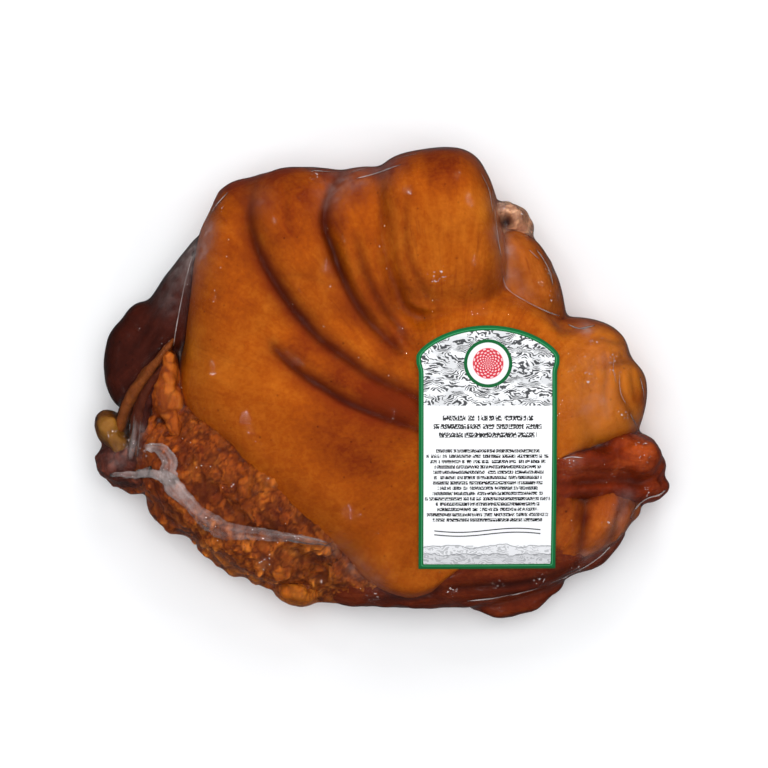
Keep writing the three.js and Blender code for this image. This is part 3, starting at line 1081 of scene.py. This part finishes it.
# Each ridge: its width, how milky it is, and its path. Those along the rims are partly painted highlights.
RIDGES_AND_GLINT_LINES = [
    (0.5, 0.36, [(-26, 75.2), (-19.5, 75), (-10.3, 75.6)]),
    (0.6, 0.36, [(-12, 74.6), (-1.2, 77.8), (8.3, 80.4), (18, 82.4)]),
    (0.5, 0.3, [(-10, 72), (-3.4, 73.8), (6, 76.8)]),
    (0.5, 0.4, [(38.6, 69), (39.6, 61), (40.6, 52), (41.8, 44)]),
    (0.4, 0.3, [(34.6, 74), (37.4, 68), (38.8, 60)]),
    (0.5, 0.22, [(42.2, 38.4), (44.2, 32.6), (51.4, 27.8), (58.1, 24.6), (63, 23)]),
    (0.6, 0.35, [(66, 20), (70, 18.6), (75.6, 19.6)]),
    (0.5, 0.45, [(-56, 67.6), (-61, 62), (-64.8, 56), (-67.6, 50)]),
    (0.5, 0.3, [(-68.6, 46), (-71.4, 35), (-74.4, 20), (-75.6, 12)]),
    (0.6, 0.5, [(30, -79.6), (38, -78.8), (46.5, -77.4), (56, -75)]),
    (0.6, 0.5, [(58.4, -74), (67.4, -70.4), (76.4, -65), (82, -60), (86, -55)]),
    (0.4, 0.25, [(84, 3), (84.6, -4.4), (86.6, -8.6)]),
    (0.4, 0.3, [(88.4, -12), (89.5, -14.2), (92.3, -18)]),
    (0.4, 0.25, [(82.4, 9), (82.0, 4), (83, -1)]),
    (0.5, 0.4, [(92, 1), (93.6, -6), (93.6, -13)]),
    (0.7, 0.5, [(102, -39.6), (99.4, -41.4), (94.5, -43), (90.8, -46.6), (88.5, -50)]),
    (0.5, 0.35, [(54.6, 47), (57.4, 43), (59.6, 38.6), (60.6, 34)]),
    (0.5, 0.3, [(52, 46.6), (55.4, 43.4)]),
    (0.5, 0.25, [(-44, -55), (-36, -55.4), (-27, -56.4), (-19, -58.6)]),
    (0.5, 0.4, [(63.6, -28), (67, -27.4), (71.4, -27.8)]),
    (0.3, 0.16, [(-89.6, -12), (-90.4, -20), (-92, -28)]),
    (0.3, 0.16, [(-87.4, -14), (-88, -21), (-89, -28)]),
]
RIDGE_PROFILE = np.array([0.5, 1, 0.7, 1.1, 0.5])  # how the width of a ridge varies along it
film_pleats = make_ribbons("film_pleats", PLEATS)
film_ridges_and_glints = make_ribbons("film_ridges_and_glints", [
    dict(path=path, widths=width * RIDGE_PROFILE, milk=(milk, milk), rise=0.1, crumple=0.08, fray=0.4,
         columns=4)
    for width, milk, path in RIDGES_AND_GLINT_LINES])
print("pleats and ridges, faces:", len(film_pleats.data.polygons), len(film_ridges_and_glints.data.polygons))

# %% [markdown]
# ## The label
# The label is a thin sheet of coated paper with straight sides, small shoulders and an arched head, stuck
# over the film. A grid is drawn into that outline, so that every row follows the arch, and laid on the
# dome. Each point also keeps its distance from the edge, which lets the printed border follow the outline
# exactly.

# %% A grid drawn into the label's outline
LABEL_LENGTH = 87.0
SHOULDER = 0.9  # how far the shoulders stand out beyond the straight sides
NECK = 6.0  # the length of side over which a shoulder grows
ARCH_RISE = 10.8
LABEL_LIFT = 0.45
PAPER_THICKNESS = 0.22


def label_plan(u, v):
    """The outline's own coordinates, each from -1 to 1, to millimetres."""
    bottom = label_centre[1] - label_half[1]
    springing = bottom + 2 * label_half[1] - ARCH_RISE
    head = springing + ARCH_RISE * max(0.0, 1 - u * u) ** 0.72
    y = bottom + (head - bottom) * (v + 1) / 2
    neck = float(climb(y, springing - NECK, springing - NECK / 3))
    half_width = label_half[0] - SHOULDER * (1 - neck)
    return label_centre[0] + u * half_width, y


def make_label():
    """The sheet on its dome, with the map that places the print and each point's distance from the rim."""
    bm = bmesh.new()
    bmesh.ops.create_grid(bm, x_segments=52, y_segments=88, size=1)
    for vert in bm.verts:
        # columns are closer together at the sides, where the arch is steepest
        u = math.sin(vert.co.x * math.pi / 2) * 0.35 + vert.co.x * 0.65
        x, y = label_plan(u, vert.co.y)
        vert.co = (x, y, bed_height(np.array([x, y])) + LABEL_LIFT)
    outline = np.array([vert.co[:2] for vert in bm.verts if vert.is_boundary])
    print_map = bm.loops.layers.uv.new("print")
    for face in bm.faces:
        for loop in face.loops:
            loop[print_map].uv = (loop.vert.co - label_low).xy / LABEL_LENGTH
    piece = piece_from(bm, "paper_label")
    # each point's distance from the nearest of the outline's straight bits
    plan = points_of(piece)[:, None, :2]
    start = outline[np.argsort(np.arctan2(*(outline - label_centre).T[::-1]))]
    along = np.roll(start, -1, axis=0) - start
    share = np.clip(((plan - start) * along).sum(-1) / (along**2).sum(-1), 0, 1)
    mark(piece, "rim", np.linalg.norm(plan - start - share[..., None] * along, axis=-1).min(1))
    modify(piece, "SOLIDIFY", thickness=PAPER_THICKNESS, offset=-1)
    keep_modified(piece)
    return piece


paper_label = make_label()
print("label faces:", len(paper_label.data.polygons))

# %% [markdown]
# ## Finishes
# Smoke, moisture and pressure mark every surface here in the same few ways, so each of those effects is one
# node group, placed in several materials with different values: soft blotches of smoke, fine streaks along
# the grain, and small dark pores. The groups only give masks and heights, and each material does its own
# mixing.

# %% The shared effects
def new_group(name, inputs, *outputs):
    """A shader node group that reads a Place and named numbers, and puts out numbers."""
    group = bpy.data.node_groups.new(name, "ShaderNodeTree")
    group.interface.new_socket("Place", in_out="INPUT", socket_type="NodeSocketVector")
    for name, value in inputs.items():
        socket = group.interface.new_socket(name, in_out="INPUT", socket_type="NodeSocketFloat")
        socket.default_value = value
    for name in outputs:
        group.interface.new_socket(name, in_out="OUTPUT", socket_type="NodeSocketFloat")
    sockets = group.nodes.new("NodeGroupInput").outputs
    given = {name: Value(sockets[name]) for name in ("Place", *inputs)}
    return group, given, group.nodes.new("NodeGroupOutput").inputs


def make_blotches():
    """Soft stains of smoke: large, uneven and without an edge."""
    group, given, result = new_group("smoke_blotches", {"Scale": 60.0, "Sharpness": 0.5}, "Mask")
    wide = noise_over(given["Place"], given["Scale"], 4.0, Roughness=0.55, Distortion=0.4)
    reach = 0.5 - given["Sharpness"] * 0.4
    group.links.new(between(wide, 0.5 - reach, 0.5 + reach).socket, result["Mask"])
    return group


def make_streaks():
    """Fine lines drawn out along one direction, for grain and for stretched skin."""
    group, given, result = new_group("grain_streaks", {"Scale": 60.0, "Length": 8.0}, "Mask", "Height")
    drawn = result_of(group, "CombineXYZ", {"X": 1.0, "Y": 1.0 / given["Length"], "Z": 1.0})
    place = result_of(group, "VectorMath", {0: given["Place"], 1: drawn}, operation="MULTIPLY")
    lines = noise_over(place, given["Scale"], 5.0, Roughness=0.6, Distortion=0.2)
    group.links.new(between(lines, 0.32, 0.68).socket, result["Mask"])
    group.links.new(lines.socket, result["Height"])
    return group


def make_pores():
    """Small round pits, in only some of the cells of an even spread."""
    group, given, result = new_group("pores", {"Scale": 300.0, "Size": 0.2, "Share": 0.3}, "Mask")
    links = {"Vector": given["Place"], "Scale": given["Scale"], "Randomness": 1.0}
    cells = add_node(group, "TexVoronoi", links).outputs
    pit = 1.0 - between(Value(cells["Distance"]), 0.0, given["Size"])
    lottery = result_of(group, "SeparateColor", {"Color": Value(cells["Color"])})
    group.links.new((pit * (lottery < given["Share"])).socket, result["Mask"])
    return group


blotches, streaks, pores = make_blotches(), make_streaks(), make_pores()
BUMP_DEPTH = 0.0006  # metres


def use(group, place, **links):
    """Places a shared effect in a material, with values of its own."""
    node = add_node(place.tree, "Group", {"Place": place, **links}, node_tree=group)
    return {socket.name: Value(socket) for socket in node.outputs}


def stained(place, scale, sharpness):
    return use(blotches, place, Scale=scale, Sharpness=sharpness)["Mask"]


# %% Smoked skin, from amber to nearly black
# The patches that smoke leaves: scale, sharpness, and how much darker they are.
SMOKE_PATCHES = [(38.0, 0.35, 0.26), (120.0, 0.6, 0.16), (300.0, 0.8, 0.11), (700.0, 1.0, 0.10)]


def smoked_skin(name, tones, streaked, moist, steep_shading):
    """Skin in three tones, with pores and streaks, and painted shade in and beside its creases and down its
    steep sides. The marks of the piece place them.
    """
    # red serves the veins and the painted shade on steep sides and beside creases; crease is the painted
    # shade down in a crease, and the pores' colour
    pale, amber, deep, red, crease = [shade(*tone) for tone in tones]
    material, tree = new_material(name)
    place, drawn = object_place(tree), read(tree, "drawn")
    along = map_place(tree, "grain")
    lines = use(streaks, along, Scale=34.0, Length=8.0)
    veins = use(streaks, along, Scale=60.0, Length=12.0)["Height"]
    tone = (lines["Mask"] - 0.5) * streaked * drawn + read(tree, "smoke_and_shade")
    patches = {}
    for scale, sharpness, amount in SMOKE_PATCHES:
        patches[scale] = stained(place, scale, sharpness)
        tone += (patches[scale] - 0.5) * amount

    # red along the drawn veins, and red as painted shade where the skin is steep or beside a crease; darkest,
    # as painted shade, down in a crease's cut
    steep_shade = between(read(tree, "steep"), 0.3, 0.95) * steep_shading
    veined = between(veins, 0.54, 0.74) * drawn * 0.4
    shade_and_veins = larger(larger(read(tree, "near") * 0.8, steep_shade), veined) * (patches[120.0] * 0.6 + 0.7)
    colour = blend_colours(shade_and_veins, three_tones(tone, pale, amber, deep), red)
    colour = blend_colours(read(tree, "crease_shade") * 0.85, colour, crease)
    wide_pits = use(pores, place, Scale=200.0, Size=0.16, Share=0.22)["Mask"]
    fine_pits = use(pores, place, Scale=420.0, Size=0.24, Share=0.14)["Mask"]
    freckles = larger(wide_pits, fine_pits)
    colour = blend_colours(freckles * between(patches[38.0], 0.25, 0.7) * 0.75, colour, crease)

    height = lines["Height"] * 1.2 + noise_over(place, 800.0, 3.0) * 0.4 + patches[300.0] * 0.35
    return finish_material(material, {
        "Base Color": colour, "Roughness": patches[120.0] * 0.16 + 0.42,
        "Normal": bumped(height - freckles * 0.5, 0.45, BUMP_DEPTH),
        "Subsurface Weight": 0.12, "Subsurface Radius": (1.0, 0.35, 0.1), "Subsurface Scale": 0.002,
        "Specular IOR Level": 0.1, "Coat Weight": moist, "Coat Roughness": 0.2})


# %% Where smoke has gone darker, where shade and light are painted, and which way the skin is drawn
# Each spot: x, y, how far it reaches, and how much darker (or lighter, below 0) it makes the rind. The dark
# spots along the top rim and down the valleys where the creases run into the label are painted shade, the
# pale facet on the right lobe is painted light, and the rest follow the smoke's own uneven tone.
TONE_AND_SHADE_SPOTS = [
    (-53, 38, 17, 0.16), (-56, 2, 18, -0.1), (21, 51, 15, -0.2), (80, -4, 18, -0.5), (-30, 58, 13, 0.26),
    (-8, -24, 14, 0.36), (-2, -50, 14, 0.02), (20, 77, 10, 0.54), (-2, 79, 8, 0.7), (-20, 80, 8, 0.7),
    (-38, 79, 8, 0.7), (-54, 72, 7, 0.6), (30, 30, 10, 0.06), (14, -66, 10, -0.06), (39.8, 31, 4, 0.12),
    (32.6, 37.5, 3.4, 0.1), (-4, 48, 8, -0.02), (66, -20, 12, 0.04), (-36, 24, 9, -0.06), (4, 30, 9, 0.24),
    (-24, -14, 10, 0.2), (-28, 66, 4, 0.2), (87.5, -13, 4, -0.4), (90.5, -6, 3.6, 0.4), (-17, 56, 5, 0.3),
    (-20, 42, 6, -0.1), (-30, 11, 6, 0.45), (-17, 2, 6, 0.4), (-4, -5, 7, 0.5), (7, -10, 7, 0.8),
    (-10, 24, 6, 0.3), (4, 14, 7, 0.5), (92, 2, 6, -0.3), (-71, 12, 6, -0.35), (-10, 66, 6, 0.25),
    (-43, 63, 7, 0.2), (37, 62, 6, -0.3), (73, -19, 6, -0.25), (83, 14, 6, -0.25),
]
FAN_CENTRE = np.array([24.0, -24.0])  # the folds run together here, under the label
FAN_RADIUS = 60  # streaks are as wide as they would be on straight skin at this distance from the centre
MAP_SEAM = 60  # degrees clockwise from +X, where the map's two ends meet
MAP_SIZE = 100  # millimetres for each whole step of the map


def mark_grain(piece, fan=True, turn=0.0):
    """A UV map whose second direction runs along the drawn skin: out from the label, or at one angle."""
    co = points_of(piece)
    if fan:
        off = co[:, :2] - FAN_CENTRE
        angle = np.mod(np.arctan2(off[:, 1], off[:, 0]) + math.radians(MAP_SEAM), 2 * math.pi)
        across, along = angle * FAN_RADIUS, np.hypot(*off.T) + co[:, 2]
    else:
        cos, sin = math.cos(math.radians(turn)), math.sin(math.radians(turn))
        across = co[:, 0] * -sin + co[:, 1] * cos + 0.6 * co[:, 2]
        along = co[:, 0] * cos + co[:, 1] * sin
    layer = piece.data.uv_layers.new(name="grain")
    corner = np.empty(len(piece.data.loops), np.int32)
    piece.data.loops.foreach_get("vertex_index", corner)
    places = np.stack([across, along], 1)[corner] / MAP_SIZE
    layer.data.foreach_set("uv", places.astype(np.float32).ravel())


def mark_smoke_and_shade(piece, base, spots=(), drawn=1.0):
    """Marks how dark each point is, from smoke and from painted shade and light, and how much the skin is
    drawn out there.
    """
    co = points_of(piece)
    mark(piece, "smoke_and_shade", base + sum_of_spots(co, spots))
    mark(piece, "drawn", drawn * np.ones(len(co)))


mark_grain(rind)
mark_grain(film)
mark_smoke_and_shade(rind, 0.46, TONE_AND_SHADE_SPOTS, drawn=0.25 + 0.75 * climb(points_of(rind)[:, 1], -20, 30))
# pale, amber and deep; red for the veins and painted shade; the darkest for painted shade in the creases and
# for pores
RIND_TONES = [(212, 124, 28), (178, 86, 8), (130, 46, 6), (132, 42, 7), (74, 20, 5)]
rind.data.materials.append(smoked_skin("amber_rind", RIND_TONES, streaked=0.18, moist=0.0, steep_shading=0.5))

# %% The darker folds
# Each skin: its five tones, of which the fourth and fifth carry painted shade, the angle it is drawn at, its
# smoke and how moist it is.
SKINS = {
    "dark_fold": ([(104, 42, 26), (72, 24, 13), (44, 13, 8), (50, 14, 8), (22, 7, 7)], 50, 0.5, 0.1),
    "upper_lobe": ([(202, 116, 40), (170, 85, 17), (130, 54, 9), (126, 44, 9), (84, 26, 9)], 100, 0.45, 0.0),
    "end_roll": ([(188, 84, 28), (140, 48, 12), (92, 25, 8), (112, 34, 11), (74, 24, 11)], -8, 0.46, 0.15),
    "lower_lobe": ([(210, 116, 32), (178, 85, 18), (132, 48, 10), (106, 32, 10), (62, 14, 7)], 70, 0.44, 0.1),
    "bottom_band": ([(164, 74, 28), (122, 43, 14), (84, 22, 8), (80, 20, 7), (38, 10, 6)], 4, 0.5, 0.2),
    "outer_strip": ([(168, 96, 42), (128, 66, 27), (92, 40, 17), (84, 34, 15), (48, 20, 11)], -60, 0.45, 0.1),
    "inner_strip": ([(110, 52, 32), (84, 35, 20), (62, 24, 14), (60, 22, 14), (40, 14, 10)], -65, 0.5, 0.1),
    "dark_strip": ([(92, 40, 30), (64, 24, 18), (46, 15, 11), (44, 14, 10), (28, 9, 8)], -70, 0.5, 0.1),
}
# Spots as for the rind, where a skin is painted lighter or darker: the lighter spots along the end roll's top
# are painted highlights, and the darker ones in the grooves and where one fold meets the next are painted
# shade.
LIT = {
    "end_roll": [
        (70, -29.4, 4, -0.2), (84, -31, 4, -0.2), (93, -26, 5, -0.3), (78, -25, 6, 0.5), (90, -35, 5, 0.2),
        (72, -41, 6, 0.3), (86, -41, 6, 0.3)],
    "lower_lobe": [
        (62, -42.6, 5, 0.5), (76, -41, 5, 0.5), (86, -44, 5, 0.3), (60, -62, 5, 0.4), (80, -50, 5, -0.2),
        (71.6, -50, 3, 0.5)],
}
for name, (tones, turn, smoke_and_shade, moist) in SKINS.items():
    piece = side_folds.get(name) or small_cuts[name]
    mark_grain(piece, fan=False, turn=turn)
    mark_smoke_and_shade(piece, smoke_and_shade, LIT.get(name, ()))
    piece.data.materials.append(smoked_skin(name + "_skin", tones, streaked=0.2, moist=moist, steep_shading=0.4))


# %% Meat in bundles, and fat
def bundled_meat(name, tones, dark_seams=0.5):
    """Each bundle has its own tone, painted lighter where it swells higher, and the seams between them are
    darkest. The joint's hollow is painted dark as shade.
    """
    pale, middle, deep, seam = [shade(*tone) for tone in tones]
    material, tree = new_material(name)
    place = object_place(tree)
    wide, small = stained(place, 90.0, 0.6), stained(place, 330.0, 0.5)
    fibres = use(streaks, place, Scale=380.0, Length=5.0)
    tone = held(read(tree, "tone") * 0.5 + wide * 0.38 + small * 0.32 - 0.1)
    colour = three_tones(tone + fibres["Mask"] * 0.3 - 0.15, deep, middle, pale)
    colour = blend_colours(read(tree, "seam") * dark_seams, colour, seam)
    # the joint's hollow is painted dark: painted shade
    colour = blend_colours(read(tree, "shaded_hollow"), colour, shade(58, 12, 16))
    return finish_material(material, {
        "Base Color": colour, "Roughness": small * 0.2 + 0.42,
        "Normal": bumped(fibres["Height"] * 1.5 + small, 0.4, BUMP_DEPTH),
        "Subsurface Weight": 0.12, "Subsurface Radius": (1.0, 0.35, 0.12), "Subsurface Scale": 0.0015,
        "Specular IOR Level": 0.15, "Coat Weight": 0.15, "Coat Roughness": 0.2})


def set_fat(name):
    """Smooth fat in two tones, painted browner down its steep flanks as shade."""
    material, tree = new_material(name)
    place = object_place(tree)
    wide, small = stained(place, 150.0, 0.6), stained(place, 700.0, 0.5)
    # the steep flanks are painted browner: painted shade
    steep_shade = between(read(tree, "steep"), 0.25, 0.9) * 0.85
    colour = blend_colours(wide, shade(170, 116, 40), shade(120, 72, 19))
    return finish_material(material, {
        "Base Color": blend_colours(steep_shade, colour, shade(96, 46, 16)), "Roughness": small * 0.15 + 0.3,
        "Normal": bumped(small, 0.25, BUMP_DEPTH * 2 / 3),
        "Subsurface Weight": 0.3, "Subsurface Radius": (1.0, 0.6, 0.3), "Subsurface Scale": 0.002,
        "Coat Weight": 0.2, "Coat Roughness": 0.15})


# Four tones each: pale, middle and deep, and the seams'.
MEAT_TONES = [(222, 128, 42), (176, 85, 22), (138, 54, 15), (72, 22, 8)]
CUT_TONES = {
    "knuckle": [(208, 119, 40), (180, 88, 24), (134, 51, 13), (86, 25, 8)],
    "golden_lump": [(222, 134, 38), (198, 108, 26), (156, 72, 15), (100, 38, 10)],
    "joint_knob": [(250, 204, 166), (226, 168, 128), (184, 120, 88), (112, 52, 40)],
    "torn_end": [(148, 76, 52), (108, 48, 34), (74, 28, 21), (44, 15, 12)],
}
meat.data.materials.append(bundled_meat("smoked_meat", MEAT_TONES, dark_seams=0.8))
for name, tones in CUT_TONES.items():
    small_cuts[name].data.materials.append(bundled_meat(name + "_meat", tones))
fat.data.materials.append(set_fat("set_fat"))

# %% [markdown]
# ## How clear film is made
# Film over wet meat is invisible except for what it mirrors, so its cover comes from how flatly it is seen:
# a Fresnel node drives Alpha, and the surface that remains is a mirror. Where the film spans a hollow or is
# pleated it is dry inside and turns milky, so there the mirror fades into white plastic and the cover
# rises.


# %% Clear film that turns milky where it stands off
def clear_film(name):
    """A mirror with little cover where the film is clear, whiter, fuller plastic where it is milky, and white
    specks at the puckers as painted glints.
    """
    material, tree = new_material(name)
    place, pucker_and_glint = object_place(tree), read(tree, "pucker_and_glint")
    fine = noise_over(place, 330.0, 4.0, Roughness=0.6)
    drawn = use(streaks, map_place(tree, "grain"), Scale=26.0, Length=7.0)["Height"]
    tension = drawn * (read(tree, "steep") * 3.0 + 0.5)
    normal = bumped(fine * (pucker_and_glint * 7.0 + 0.8) + tension + noise_over(place, 80.0) * 2.0, 0.4, BUMP_DEPTH)
    # white specks at the puckers: painted glints on the film
    painted_glints = between(noise_over(place, 900.0), 0.61, 0.70) * between(pucker_and_glint, 0.3, 0.8) * 0.8
    haze = held(read(tree, "milk") * (fine * 1.6 + 0.2) + painted_glints)
    mirror = result_of(tree, "Fresnel", {"IOR": 1.3, "Normal": normal})
    milky = held(haze / (haze + mirror))
    return finish_material(material, {
        "Alpha": larger(mirror, haze), "Metallic": 1.0 - milky,
        "Base Color": blend_colours(milky, shade(240, 236, 234), shade(230, 207, 202)),
        "Roughness": fine * 0.04 + 0.02, "Normal": normal})


film_finish = clear_film("clear_film")
for piece in (film, film_pleats, film_ridges_and_glints):
    piece.data.materials.append(film_finish)

# %% [markdown]
# ## The print on the label
# The label carries a generic print: a border, a round seal over an engraved-looking field, rows of bars
# where the wording would be, and low hills along the foot. It is all worked out in the material, from
# millimetres measured on the paper, so it stays sharp at any size, and nothing on it can be read.


# %% Small helpers for printed shapes
def inside(value, low, high):
    """1 where the value lies between low and high, and 0 elsewhere."""
    return (value > low) * (value < high)


def noise_at(x, y, wide, tall, detail=2.0):
    """Noise whose lumps are about wide by tall millimetres."""
    return noise_over(result_of(x.tree, "CombineXYZ", {"X": x / wide, "Y": y / tall}), 1.0, detail)


def rows_of_bars(x, y, low, high, pitch, thick, reach, word):
    """Rows of bars that are broken and end at uneven places, centred on the label."""
    count = (y - low) / pitch
    row = calculate("FLOOR", count)
    in_row = inside(calculate("FRACT", count), 0.5 - thick / 2, 0.5 + thick / 2)
    lottery = result_of(x.tree, "TexWhiteNoise", {"W": row}, noise_dimensions="1D")
    in_reach = calculate("ABSOLUTE", x) < lottery * (-0.22 * reach) + reach
    in_word = noise_at(x, row * 7.3, word, 1.0) > 0.385
    in_stroke = noise_at(x, row * 7.1 + y, 0.28 * word, 0.4 * word, detail=0.0) > 0.42
    return in_row * in_reach * in_word * in_stroke * inside(y, low, high)


# %% Paper, ink and border
# Up from the label's foot: where the engraved ground starts, and the middle of the seal.
GROUND_FOOT, SEAL_MIDDLE = 58.5, 73.5
LINE_PITCH = 1.05
BORDER_WIDTH = 1.75


def printed_paper(name):
    """White paper on which each layer of ink is laid over the ones before it."""
    material, tree = new_material(name)
    uv = map_place(tree, "print")
    parts = add_node(tree, "SeparateXYZ", {"Vector": uv}).outputs
    x = Value(parts["X"]) * LABEL_LENGTH - float(label_half[0])
    y = Value(parts["Y"]) * LABEL_LENGTH
    fibres = noise_over(uv, 90.0, 5.0)
    colour = blend_colours(fibres, shade(246, 247, 249), shade(253, 253, 254))

    def print_on(where, *ink):
        """What is printed so far, with that ink where it says."""
        return blend_colours(where, colour, shade(*ink))

    # engraved ground: lines that follow soft slopes, thick where it is dark and gone where it is light
    slope = noise_at(x, y, 10.0, 6.0)
    run = slope * 15.0 + noise_at(x, y, 1.9, 1.2, detail=3.0) * 1.6 + y
    least = larger(noise_at(x, y, 3.6, 2.0, detail=3.0) * -8.0 + 4.3, -0.4)
    lines = calculate("SINE", run * (2 * math.pi / LINE_PITCH)) > least
    above = y > GROUND_FOOT
    colour = print_on(above * (between(slope, 0.4, 0.6) * 0.3 + 0.04), 120, 122, 126)
    colour = print_on(lines * above * 0.94, 40, 42, 46)

    # hills along the foot, one behind the other
    for height, rise, wide, tint in ((5.9, 5.0, 9.0, 228), (3.2, 4.4, 6.0, 206)):
        under = noise_at(x, float(tint), wide, 1.0) * rise + height - y
        colour = print_on((under > 0.0) * 0.75, tint, tint, tint + 3)
        colour = print_on(inside(under, 0.0, 0.3) * 0.6, 84, 86, 90)
    colour = print_on(lines * (y < 8.5) * 0.4, 96, 98, 102)

    # two waved lines, and the rows of bars
    wave = calculate("SINE", x / 6.5) * 0.7
    for low in (12.6, 14.0):
        colour = print_on(inside(y - wave - low, -0.2, 0.2) * (calculate("ABSOLUTE", x) < 19.0), 50, 50, 54)
    colour = print_on(rows_of_bars(x, y, 46.6, 55.6, 3.0, 0.6, 20.0, 1.6) * 0.97, 16, 16, 18)
    colour = print_on(rows_of_bars(x, y, 16.8, 43.4, 1.9, 0.62, 22.4, 1.2), 14, 14, 17)

    # the round seal: a green ring round a red rosette
    high = y - SEAL_MIDDLE
    radius = calculate("SQRT", x * x + high * high)
    petals = calculate("COSINE", calculate("ARCTAN2", high, x) * 12.0) * calculate("COSINE", radius * 5.0)
    for reach, ink in ((8.6, (8, 96, 48)), (7.4, (234, 235, 236)), (5.6, (238, 196, 200))):
        colour = print_on(radius < reach, *ink)
    colour = print_on((petals > -0.25) * (radius < 5.4), 206, 44, 60)

    # the green border, with a paler line in it
    rim = read(tree, "rim")
    colour = print_on(rim < BORDER_WIDTH, 8, 104, 52)
    colour = print_on(inside(rim, 1.0, 1.25), 60, 150, 100)
    return finish_material(material, {
        "Base Color": colour, "Roughness": fibres * 0.1 + 0.4, "Specular IOR Level": 0.3})


paper_label.data.materials.append(printed_paper("printed_paper"))

# %% [markdown]
# ## Into the frame
# Every finished piece goes from millimetres to the frame's metres and rides on the one body, and the part of
# the imported model that it stands for is hidden.

# %% Setting the pieces down
for piece in [*contents, film, film_pleats, film_ridges_and_glints, paper_label]:
    piece.data.transform(into_frame)
    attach(piece, "root")
    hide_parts("label" if piece is paper_label else "packed_hock")
